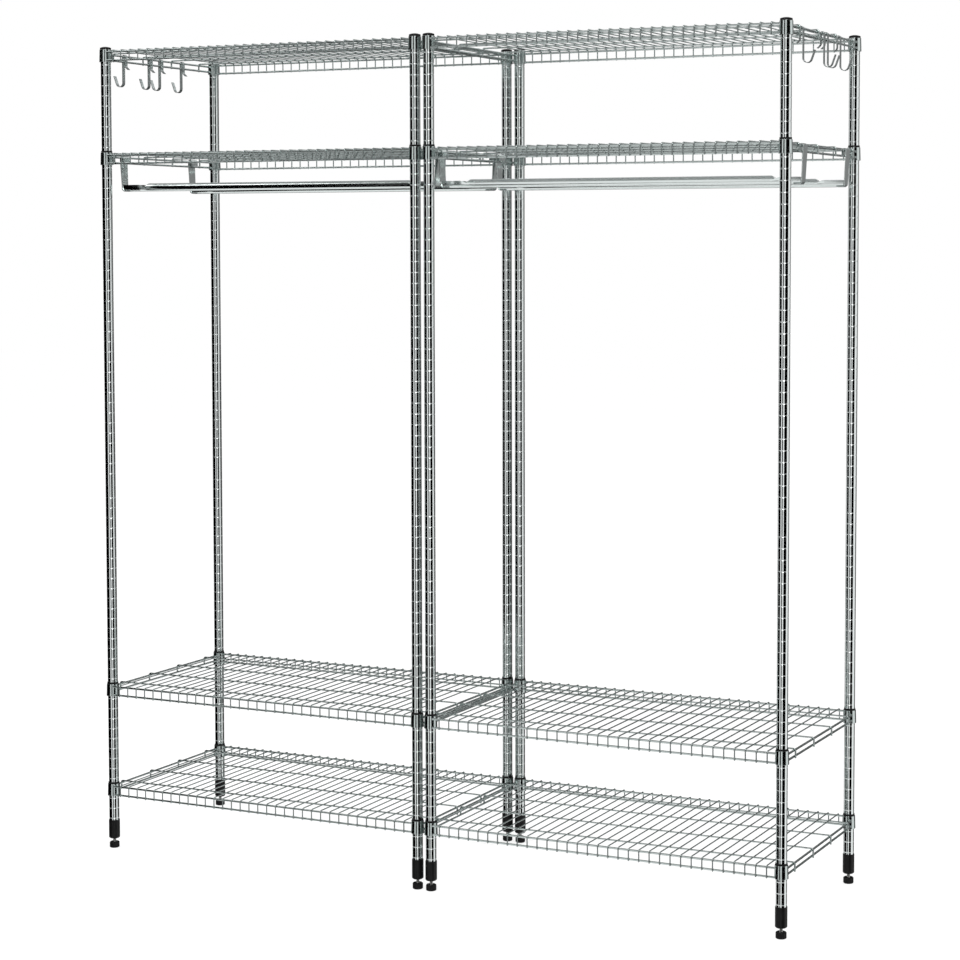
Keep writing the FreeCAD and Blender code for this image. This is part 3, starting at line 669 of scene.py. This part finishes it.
def bent_wire(corners, bend, radius, sides, plane, across):
    """A round wire along rounded corners, with its cut ends eased by a small bevel."""
    path = bent(corners, [bend] * (len(corners) - 2))
    ease = END_BEVEL_SHARE * radius
    first = path[0] + (path[1] - path[0]) / np.linalg.norm(path[1] - path[0]) * ease
    last = path[-1] + (path[-2] - path[-1]) / np.linalg.norm(path[-2] - path[-1]) * ease
    path = np.vstack([path[:1], first, path[1:-1], last, path[-1:]])
    size = np.ones(len(path))
    size[[0, -1]] = 1 - END_BEVEL_SHARE
    section = round_section(radius, sides) * size[:, None, None]
    return carried(on_plane(path, *plane), section, across)


def cross_wires():
    """The row of front to back wires."""
    reach = POST_Y + RIM_OUT + CROSS_BEND
    corners = [(-reach, CROSS_END), (-reach, CROSS_HEIGHT), (reach, CROSS_HEIGHT), (reach, CROSS_END)]
    wire = bent_wire(corners, CROSS_BEND, CROSS_WIRE, CROSS_SIDES, (Y_AXIS, Z_AXIS), X_AXIS)
    count = int((2 * POST_X - 2 * CROSS_MARGIN) / CROSS_PITCH) + 1
    places = (np.arange(count) - (count - 1) / 2)[:, None] * CROSS_PITCH * X_AXIS
    return wire.at(places)


def long_wires():
    """The left to right wires, with their ends bent down as ties."""
    reach = POST_X + SIDE_OUT + LONG_BEND
    corners = [(-reach, LONG_END), (-reach, LONG_HEIGHT), (reach, LONG_HEIGHT), (reach, LONG_END)]
    wire = bent_wire(corners, LONG_BEND, LONG_WIRE, LONG_SIDES, (X_AXIS, Z_AXIS), Y_AXIS)
    places = np.linspace(-1, 1, LONG_COUNT)[:, None] * (POST_Y - LONG_MARGIN) * Y_AXIS
    return wire.at(places)


COLLAR_HEIGHT = 30.5
COLLAR_WALL = 1.2
COLLAR_TOP = 14.9
COLLAR_FOOT = 15.8
COLLAR_GRIP = 0.5
COLLAR_BENDS = (0.3, 0.5, 0.5, 0.3)
RUN_SHARES = (-1.0, -0.5, 0.5, 1.0)
WELD_ALONG = 4.5
WELD_ACROSS = 5.5


def collar_radius(height):
    """Outside of the tapered collar at a height under its top."""
    return COLLAR_TOP - (COLLAR_FOOT - COLLAR_TOP) * height / COLLAR_HEIGHT


def scribed_wire(out, height, half_span):
    """A straight wire whose ends follow the collars: along = span - sqrt(R^2 - out^2) at every point."""
    ring = round_section(RIM_WIRE, RIM_SIDES)
    beside = out + ring[:, 0]
    level = height + ring[:, 1]
    grip = collar_radius(level) - COLLAR_GRIP
    end = half_span - np.sqrt(grip**2 - beside**2)
    run = np.array(RUN_SHARES)[:, None] * end
    grid = np.stack(np.broadcast_arrays(run, beside, level), axis=-1)
    stock = np.stack(np.broadcast_arrays(ring[:, 0], ring[:, 1], run), axis=-1)
    rows, columns = grid.shape[:2]
    return Skin(grid, [cells(rows, columns), end_caps(rows, columns)], stock)


def frame_wires():
    """Two rim wires at the front and rear, and two side wires at each end."""
    whole = None
    for height in RIM_HEIGHTS:
        wire = scribed_wire(RIM_OUT, height, POST_X)
        rear = wire.at(POST_Y * Y_AXIS)
        pair = rear + turned_about(rear, math.pi)
        whole = pair if whole is None else whole + pair
    for height in SIDE_HEIGHTS:
        wire = scribed_wire(SIDE_OUT, height, POST_Y)
        left = turned_about(wire.at(POST_X * Y_AXIS), math.pi / 2)
        whole = whole + left + turned_about(left, math.pi)
    return whole


def shelf_collar():
    """A tapered ring with soft edges, its top at height 0."""
    half_way, third_way = -COLLAR_HEIGHT / 2, -COLLAR_HEIGHT / 3
    outline = bent([
        (collar_radius(half_way) - COLLAR_WALL, half_way),
        (COLLAR_FOOT - COLLAR_WALL, -COLLAR_HEIGHT),
        (COLLAR_FOOT, -COLLAR_HEIGHT),
        (COLLAR_TOP, 0),
        (COLLAR_TOP - COLLAR_WALL, 0),
        (collar_radius(third_way) - COLLAR_WALL, third_way),
    ], COLLAR_BENDS)
    return turned(outline, POST_SIDES, ring=True)


def weld_heat(finish):
    """1 at the welds, where a cross wire passes a long wire, fading over a few millimetres."""
    along_x = finish.node("ShaderNodeSeparateXYZ", {}, {"Vector": finish.bench()}, "X")
    along_y = Signal(finish, along_x.socket.node.outputs["Y"])

    def distance(value, pitch, phase):
        """Distance to the nearest line of a row of lines."""
        turn = finish.node("ShaderNodeMath", {"operation": "FRACT"}, {0: value / pitch + phase})
        return finish.node("ShaderNodeMath", {"operation": "ABSOLUTE"}, {0: (turn - 0.5) * pitch})

    def near(gap, reach):
        """1 on a line, 0 beyond its reach."""
        return finish.node("ShaderNodeMapRange", {}, {0: gap, 1: 0.0, 2: reach, 3: 1.0, 4: 0.0})

    long_pitch = 2 * (POST_Y - LONG_MARGIN) / (LONG_COUNT - 1) * MM
    cross = near(distance(along_x, CROSS_PITCH * MM, 0.5), WELD_ALONG * MM)
    under = near(distance(along_y, long_pitch, 0.0), WELD_ACROSS * MM)
    return cross * under


wire_zinc = bright_zinc("wire_zinc", (0.66, 0.71, 0.70), (0.45, 0.51, 0.50), 0.07, 0.14, weld_heat)
shelf = cross_wires() + long_wires() + frame_wires() + shelf_collar().at(post_offsets)
faces = 0
for node in starting("shelf_left_bay") + starting("shelf_right_bay"):
    faces += dress(node, shelf, upright(node, top_of(node)), wire_zinc)
print("shelves with", faces, "faces, each of", len(shelf.points), "points")

# %% [markdown]
# Each clothes rail is a tube whose ends are pressed from above into a trough. The metal beyond the
# trough is flat strip: it turns up, leans out and hooks over the side wires. The pressed tube is one
# section carried along a straight line, and only four numbers of the section change on the way. The
# strip is a second skin, set in the trough's end.

# %% Clothes rails

RAIL_RADIUS = 10.0
RAIL_DROP = 74.5
PRESS_LENGTH = 26.0
PRESS_STEPS = 14
TROUGH_LENGTH = 46.0
TROUGH_SHORT = 2.5
TROUGH_RIM = 6.5
TROUGH_WALL = 2.4
TROUGH_WIDTH = 12.0
TROUGH_POWER = 0.65
FLAT_DROP = 8.9
FLAT_WIDTH = 15.0
FLAT_THICKNESS = 1.1
TONGUE_LENGTH = 20.0
TONGUE_WIDTH = 10.0
FOOT_BEND = 5.0
RAIL_LEAN = math.radians(3)
RAIL_WRAP = 4.7
RAIL_SEAT = 0.8
RAIL_TAIL = 11.0
FLAT_POWER = 9.0
RAIL_SIDES = 40


def superellipse(height, width, power, sides):
    """Points of |u / height|^power + |v / width|^power = 1, for arrays of heights, widths and powers."""
    angle = np.linspace(0, 2 * np.pi, sides, endpoint=False)
    cosine, sine = np.cos(angle), np.sin(angle)
    u = height[:, None] * np.sign(cosine) * np.abs(cosine) ** (2 / power[:, None])
    v = width[:, None] * np.sign(sine) * np.abs(sine) ** (2 / power[:, None])
    return np.stack([u, v], axis=-1)


def pressed_section(rim, wall, width, power):
    """Sections of a tube pressed from above, for arrays of values along it; u points down.

    The underside lies at (rim + radius) * |cosine|^power under the rims, and the upper side is higher
    by wall * |cosine|^power. A round tube has its rims at half height and a wall of two radii.
    """
    angle = np.linspace(0, 2 * np.pi, RAIL_SIDES, endpoint=False)
    bow = np.abs(np.cos(angle)) ** power[:, None]
    under = (rim + RAIL_RADIUS)[:, None] * bow
    over = under - wall[:, None] * bow
    u = np.where(np.cos(angle) > 0, under, over) - rim[:, None]
    return np.stack([u, width[:, None] * np.sin(angle)], axis=-1)


def rail_tube(end_x, height):
    """The tube from end to end, round in the middle and a trough towards each end."""
    inner_x = end_x - TROUGH_LENGTH
    start_x = inner_x - PRESS_LENGTH
    half = np.append(np.linspace(start_x, inner_x, PRESS_STEPS), end_x)
    along = np.concatenate([-half[::-1], half])
    pressed = np.clip((np.abs(along) - start_x) / PRESS_LENGTH, 0, 1)
    smooth = pressed * pressed * (3 - 2 * pressed)
    section = pressed_section(
        TROUGH_RIM * smooth,
        2 * RAIL_RADIUS + (TROUGH_WALL - 2 * RAIL_RADIUS) * smooth,
        RAIL_RADIUS + (TROUGH_WIDTH - RAIL_RADIUS) * smooth,
        1 + (TROUGH_POWER - 1) * smooth,
    )
    path = np.column_stack([along, np.full(len(along), height)])
    return carried(on_plane(path, X_AXIS, Z_AXIS), section, Y_AXIS)


def clothes_rail():
    """A rail in the middle of its bay, with the tops of the shelf's collars at height 0."""
    wire_x = POST_X + SIDE_OUT
    wire_z = SIDE_HEIGHTS[0]
    rail_z = wire_z - RAIL_DROP
    flat_z = rail_z - FLAT_DROP
    hook_z = wire_z - RAIL_SEAT
    touch_x = wire_x + RAIL_WRAP * math.cos(RAIL_LEAN)
    touch_z = hook_z - RAIL_WRAP * math.sin(RAIL_LEAN)
    crest_z = hook_z + RAIL_WRAP
    foot_x = touch_x - (touch_z - flat_z) * math.tan(RAIL_LEAN)
    path = bent([
        (foot_x - TONGUE_LENGTH, flat_z),
        (foot_x, flat_z),
        (touch_x + (crest_z - touch_z) * math.tan(RAIL_LEAN), crest_z),
        (wire_x - RAIL_WRAP, crest_z),
        (wire_x - RAIL_WRAP, wire_z - RAIL_TAIL),
    ], [FOOT_BEND, RAIL_WRAP, RAIL_WRAP])
    width = np.interp(path[:, 1], [flat_z, flat_z + 2 * FOOT_BEND], [TONGUE_WIDTH, FLAT_WIDTH])
    ones = np.ones(len(path))
    section = superellipse(FLAT_THICKNESS * ones, width, FLAT_POWER * ones, RAIL_SIDES)
    strip = carried(on_plane(path, X_AXIS, Z_AXIS), section, Y_AXIS)
    return rail_tube(foot_x - TROUGH_SHORT, rail_z) + strip + turned_about(strip, math.pi)


rail = clothes_rail()
faces = 0
for bay in BAYS:
    for node in starting(f"clothes_rail_{bay}_bay"):
        faces += dress(node, rail, upright(node, top_of(f"shelf_{bay}_bay_hanging")), rail_zinc)
print("clothes rails with", faces, "faces")

# %% [markdown]
# The loose hooks are bent from strip: a short leg inside, a bend over the side wire, a long leg
# outside, a bow and a leaning arm. They hang at uneven places, as somebody left them.

# %% Strip hooks

HOOK_WIDTH = 5.8
HOOK_THICKNESS = 0.65
HOOK_WRAP = 3.8
HOOK_DROP = 65.2
HOOK_BOW = 10.0
HOOK_LEAN = math.radians(20)
HOOK_ARM = 22.0
HOOK_TAIL = 22.0
HOOK_CURL = 9.0
HOOK_CURL_TURN = math.radians(50)
HOOK_TIP = 6.0
STRIP_POWER = 7.0
HOOK_SIDES = 24


def strip_hook():
    """A hook over a wire that runs along Y through the origin, with its bow on the side of +X."""
    curl_reach = HOOK_CURL * math.tan(HOOK_CURL_TURN / 2)
    curl = np.array([-HOOK_WRAP, -HOOK_TAIL - curl_reach])
    curl_way = np.array([math.sin(HOOK_CURL_TURN), math.cos(HOOK_CURL_TURN)])
    curl_end = curl - (curl_reach + HOOK_TIP) * curl_way
    low = -HOOK_DROP - HOOK_BOW
    arm_turn = math.pi / 2 - HOOK_LEAN
    arm_reach = HOOK_BOW * math.tan(arm_turn / 2)
    arm_foot = np.array([HOOK_WRAP + HOOK_BOW + arm_reach, low])
    arm_end = arm_foot + (arm_reach + HOOK_ARM) * np.array([math.sin(HOOK_LEAN), math.cos(HOOK_LEAN)])
    crest = [(-HOOK_WRAP, HOOK_WRAP), (HOOK_WRAP, HOOK_WRAP)]
    corners = [curl_end, curl, *crest, (HOOK_WRAP, low), arm_foot, arm_end]
    path = bent(corners, [HOOK_CURL, HOOK_WRAP, HOOK_WRAP, HOOK_BOW, HOOK_BOW])
    ones = np.ones(len(path))
    section = superellipse(HOOK_THICKNESS * ones, HOOK_WIDTH * ones, STRIP_POWER * ones, HOOK_SIDES)
    return carried(on_plane(path, X_AXIS, Z_AXIS), section, Y_AXIS)


hook = strip_hook()
faces = 0
for bay, facing in (("left", math.pi), ("right", 0)):
    wire_x = bay_middle[bay][0] + (POST_X + SIDE_OUT) * math.cos(facing)
    wire_z = top_of(f"shelf_{bay}_bay_top") + SIDE_HEIGHTS[0]
    for node in starting(f"hook_{bay}"):
        place = np.array([wire_x, middle(node)[1], wire_z])
        faces += dress(node, turned_about(hook, facing), place, hook_zinc)
print("hooks with", faces, "faces")

# %% [markdown]
# A screw foot is a fluted pad on a zinc stud. The thread is one surface: the radius falls by the
# thread's depth times a triangle wave of (height / pitch - angle / turn), which is a helix. The pad's
# rim is the smaller of a plain circle and sixteen flute circles set round it.

# %% Screw feet

STUD_RADIUS = 3.8
STUD_LENGTH = 52.0
STUD_BEVEL = 0.8
THREAD_PITCH = 1.25
THREAD_DEPTH = 0.55
THREAD_STEPS = 6
STUD_SIDES = 24
PAD_RADIUS = 12.25
PAD_HEIGHT = 14.5
PAD_BEVEL = 1.5
PAD_FLOOR = 4.5
PAD_HOLE = 4.1
FLUTES = 16
FLUTE_RADIUS = 1.6
FLUTE_FLOOR = 3.0
PAD_SIDES = 12 * FLUTES
PAD_LOW_BENDS = (0.5, 0.8)
PAD_HIGH_BENDS = (0.8, 0.6, 0.3, 0.3)


def threaded_stud():
    """Stud from height 0 up: r = R - depth * triangle(height / pitch - angle / turn), with eased ends."""
    rows = int(STUD_LENGTH / THREAD_PITCH * THREAD_STEPS)
    height = np.linspace(0, STUD_LENGTH, rows)[:, None]
    angle = np.linspace(0, 2 * np.pi, STUD_SIDES, endpoint=False)
    wave = np.abs((height / THREAD_PITCH - angle / (2 * np.pi)) % 1 - 0.5) * 2
    end = np.minimum(height, STUD_LENGTH - height)
    limit = STUD_RADIUS - STUD_BEVEL * np.clip(1 - end / STUD_BEVEL, 0, 1)
    radius = np.minimum(STUD_RADIUS - THREAD_DEPTH * wave, limit)
    grid = np.broadcast_arrays(radius * np.cos(angle), radius * np.sin(angle), height)
    points = np.stack(grid, axis=-1)
    return Skin(points, [cells(rows, STUD_SIDES), end_caps(rows, STUD_SIDES)], points)


def fluted_pad():
    """Pad on height 0, open at its top for the stud.

    Along a flute at angle d from its middle, r = c cos d - sqrt(f^2 - (c sin d)^2), where c is the
    distance of the flute's axis and f its radius.
    """
    angle = np.linspace(0, 2 * np.pi, PAD_SIDES, endpoint=False)
    turn = 2 * np.pi / FLUTES
    off = (angle + turn / 2) % turn - turn / 2
    axis = PAD_RADIUS + FLUTE_RADIUS / 2
    inside = FLUTE_RADIUS**2 - (axis * np.sin(off)) ** 2
    hollow = axis * np.cos(off) - np.sqrt(np.clip(inside, 0, None))
    fluted = np.where(inside > 0, np.minimum(PAD_RADIUS, hollow), PAD_RADIUS)
    low = bent([
        (POLE_RADIUS, 0),
        (PAD_RADIUS - PAD_BEVEL, 0),
        (PAD_RADIUS, PAD_BEVEL),
        (PAD_RADIUS, FLUTE_FLOOR),
    ], PAD_LOW_BENDS)
    high = bent([
        (PAD_RADIUS, PAD_HEIGHT / 2),
        (PAD_RADIUS, PAD_HEIGHT - PAD_BEVEL),
        (PAD_RADIUS - PAD_BEVEL, PAD_HEIGHT),
        (PAD_HOLE, PAD_HEIGHT),
        (PAD_HOLE, PAD_FLOOR),
        (POLE_RADIUS, PAD_FLOOR),
    ], PAD_HIGH_BENDS)
    shoulder = np.array([(PAD_RADIUS, FLUTE_FLOOR + EASE)])
    profile = np.vstack([low, shoulder, high])
    rim = np.where(profile[:, 1:] > FLUTE_FLOOR, fluted, PAD_RADIUS)
    radius = np.minimum(profile[:, :1], rim)
    grid = np.broadcast_arrays(radius * np.cos(angle), radius * np.sin(angle), profile[:, 1:])
    points = np.stack(grid, axis=-1)
    return Skin(points, [cells(len(profile), PAD_SIDES), end_caps(len(profile), PAD_SIDES)], points)


stud_zinc = bright_zinc("stud_zinc", (0.78, 0.78, 0.76), (0.58, 0.58, 0.56), 0.22, 0.20)
stud = threaded_stud()
pad = fluted_pad()
faces = 0
for node in starting("foot_stud"):
    faces += dress(node, stud, upright(node, bottom_of(node)), stud_zinc)
for node in starting("foot_pad"):
    faces += dress(node, pad, upright(node, bottom_of(node)), foot_black)
print("screw feet with", faces, "faces")

# %% [markdown]
# The joining plugs sit out of sight inside the posts, so their plain nodes stay and only get a
# finish: turned steel, whose marks are rings round the axis.

# %% Joining plugs

RING_SCALE = (40.0, 40.0, 2500.0)
RING_DEPTH = 1e-5
RING_ROUGHNESS = (0.25, 0.2)


def turned_steel(name, light, deep):
    """Turned bar: fine rings along the axis change the colour and the roughness."""
    material, finish = new_finish(name)
    place = finish.node("ShaderNodeTexCoord", {}, {}, "Object")
    rings = finish.node("ShaderNodeMapping", {}, {"Vector": place, "Scale": RING_SCALE})
    marks = finish.noise(rings, 1.0, 3.0)
    finish.show(finish.node("ShaderNodeBsdfPrincipled", {}, {
        "Base Color": finish.blend(marks, (*deep, 1), (*light, 1)),
        "Metallic": 1.0,
        "Roughness": RING_ROUGHNESS[0] + RING_ROUGHNESS[1] * marks,
        "Normal": finish.bump(marks, RING_DEPTH),
    }))
    return material


plug_steel = turned_steel("plug_steel", (0.60, 0.61, 0.61), (0.42, 0.43, 0.43))
for node in starting("post_plugs"):
    data = frame["nodes"][node].data
    data.materials.clear()
    data.materials.append(plug_steel)
print("plugs finished:", len(starting("post_plugs")))

# %% [markdown]
# Bright metal is a picture of its room, so the room is the real light here. The room is white, and
# black and grey flags stand round the object and hang over it, as a photographer would set them. They
# show only in reflections: upright ones draw the dark stripes down the posts, level ones shade the
# tops and undersides of the wires. Two large soft lamps light the plastic and the floor evenly.

# %% Room, flags and floor

ROOM_LIGHT = 0.6
FLAG_FOOT = -1.3
FLAG_MIDDLE = 1.1
FLAG_TOP = 3.0
FLAG_TALL = 3.7
FLAGS = {
    "left": ([(-1.6, -3.2), (-2.6, -2.4), (-2.9, -1.2), (-2.9, 0.7)], FLAG_FOOT, FLAG_TALL, 0.0),
    "right_front": ([(2.12, -3.02), (2.93, -0.42)], FLAG_FOOT, FLAG_TALL, 0.0),
    "front": ([(-0.42, -3.7), (1.1, -3.8)], FLAG_FOOT, FLAG_TALL, 0.05),
    "low_behind_right": ([(3.3, 1.9), (2.4, 2.9), (0.6, 3.3)], FLAG_FOOT, FLAG_MIDDLE, 0.12),
    "high_behind_right": ([(3.3, 1.9), (2.4, 2.9), (0.6, 3.3)], FLAG_MIDDLE, FLAG_TOP, 0.26),
    "low_behind_left": ([(0.6, 3.3), (-2.4, 3.3), (-3.4, 2.6)], FLAG_FOOT, FLAG_MIDDLE, 0.0),
    "high_behind_left": ([(0.6, 3.3), (-2.4, 3.3), (-3.4, 2.6)], FLAG_MIDDLE, FLAG_TOP, 0.05),
}


def seen_rays(finish):
    """1 for rays from the camera and for mirror and see-through rays, 0 for soft light."""
    rays = finish.node("ShaderNodeLightPath", {}, {}, "Is Camera Ray")
    outputs = rays.socket.node.outputs
    mirror = Signal(finish, outputs["Is Glossy Ray"])
    through = Signal(finish, outputs["Is Transmission Ray"])
    return finish.node("ShaderNodeMath", {"operation": "MINIMUM"}, {0: rays + mirror + through, 1: 1.0})


def white_room():
    """World that is white to look at and lights the object softly."""
    world = bpy.data.worlds.new("white_room")
    world.use_nodes = True
    bpy.context.scene.world = world
    finish = Finish(world.node_tree)
    soft = finish.node("ShaderNodeBackground", {}, {"Color": (1, 1, 1, 1), "Strength": ROOM_LIGHT})
    white = finish.node("ShaderNodeBackground", {}, {"Color": (1, 1, 1, 1), "Strength": 1.0})
    shader = finish.node("ShaderNodeMixShader", {}, {0: seen_rays(finish), 1: soft, 2: white})
    finish.show(shader, "ShaderNodeOutputWorld")


LEVEL_FLAGS = {
    "low_left": (-1.2, (-5.0, -5.2), (-1.6, -1.5), 0.05),
    "low_front": (-1.2, (-1.6, -5.2), (1.4, -2.5), 0.70),
    "overhead": (4.8, (-6.0, -7.0), (6.0, 5.0), 0.40),
}


def stage_piece(name, points, faces, material):
    """A mesh that belongs to the studio."""
    mesh = bpy.data.meshes.new(name)
    mesh.from_pydata(points, [], faces)
    mesh.materials.append(material)
    piece = bpy.data.objects.new(name, mesh)
    bpy.context.scene.collection.objects.link(piece)
    return piece


def flag(name, points, faces, grey):
    """A panel that is seen only in reflections."""
    material, finish = new_finish(f"{name}_flag")
    finish.show(finish.node("ShaderNodeEmission", {}, {"Color": (grey, grey, grey, 1), "Strength": 1.0}))
    panel = stage_piece(f"{name}_flag", points, faces, material)
    panel.visible_camera = False
    panel.visible_diffuse = False
    panel.visible_shadow = False
    panel.visible_transmission = False


def upright_flag(name, plan, foot, top, grey):
    """A flag that stands upright along a line."""
    count = len(plan)
    points = [(x, y, z) for z in (foot, top) for x, y in plan]
    faces = [(i, i + 1, count + i + 1, count + i) for i in range(count - 1)]
    flag(name, points, faces, grey)


def level_flag(name, height, near, far, grey):
    """A flag that lies level between two corners."""
    plan = [near, (far[0], near[1]), far, (near[0], far[1])]
    flag(name, [(x, y, height) for x, y in plan], [(0, 1, 2, 3)], grey)


FLOOR_SIZE = 40.0
FLOOR_GLOW = 0.70
FLOOR_TONE = 0.5


def pale_floor():
    """Floor that looks white and keeps the object's shadow: a glow over plain pale paint."""
    material, finish = new_finish("pale_floor")
    paint = finish.node("ShaderNodeBsdfDiffuse", {}, {"Color": (FLOOR_TONE, FLOOR_TONE, FLOOR_TONE, 1)})
    glow = finish.node("ShaderNodeEmission", {}, {"Color": (1, 1, 1, 1), "Strength": FLOOR_GLOW})
    bright = finish.node("ShaderNodeAddShader", {}, {0: paint, 1: glow})
    finish.show(finish.node("ShaderNodeMixShader", {}, {0: seen_rays(finish), 1: paint, 2: bright}))
    half = FLOOR_SIZE / 2
    corners = [(-half, -half, 0), (half, -half, 0), (half, half, 0), (-half, half, 0)]
    stage_piece("pale_floor", corners, [(0, 1, 2, 3)], material).visible_glossy = False


LAMP_AIM = (0, 0, 1.0)
LAMP_SIZE = 2.4
LAMPS = {"key_lamp": ((1.6, -3.2, 4.2), 90), "fill_lamp": ((-3.4, -1.8, 3.6), 45)}


def soft_lamp(name, place, power):
    """A square soft lamp that faces the object."""
    data = bpy.data.lights.new(name, "AREA")
    data.shape = "SQUARE"
    data.size = LAMP_SIZE
    data.energy = power
    lamp = bpy.data.objects.new(name, data)
    bpy.context.scene.collection.objects.link(lamp)
    ahead = np.array(LAMP_AIM) - np.array(place)
    ahead /= np.linalg.norm(ahead)
    lamp.location = place
    lamp.rotation_euler = (math.acos(-ahead[2]), 0, math.atan2(-ahead[0], ahead[1]))


white_room()
for name, (plan, foot, top, grey) in FLAGS.items():
    upright_flag(name, plan, foot, top, grey)
for name, (height, near, far, grey) in LEVEL_FLAGS.items():
    level_flag(name, height, near, far, grey)
pale_floor()
for name, (place, power) in LAMPS.items():
    soft_lamp(name, place, power)
print("studio with", len(FLAGS), "upright and", len(LEVEL_FLAGS), "level flags")

# %% [markdown]
# The camera stands to the right of the front, a little below the height of the rails, with a long
# lens. Its shift keeps the upright posts nearly upright, as an architectural photographer would.

# %% Camera and view

CAMERA_PLACE = (2.54042, -4.91293, 1.5318)
CAMERA_TURN = math.radians(25.156)
CAMERA_DIP = math.radians(3.369)
CAMERA_LENS = 85.522
CAMERA_SENSOR = 36.0
CAMERA_SHIFT = (-0.08, -0.11)

camera_data = bpy.data.cameras.new("camera")
camera_data.lens = CAMERA_LENS
camera_data.sensor_width = CAMERA_SENSOR
camera_data.shift_x, camera_data.shift_y = CAMERA_SHIFT
camera = bpy.data.objects.new("camera", camera_data)
bpy.context.scene.collection.objects.link(camera)
camera.location = CAMERA_PLACE
camera.rotation_euler = (math.pi / 2 - CAMERA_DIP, 0, CAMERA_TURN)
bpy.context.scene.camera = camera
bpy.context.scene.view_settings.view_transform = "Standard"
print("camera at", CAMERA_PLACE)

# %% [markdown]
# Last, the scene is brought up to date.

# %% Bring the scene up to date
bpy.context.view_layer.update()
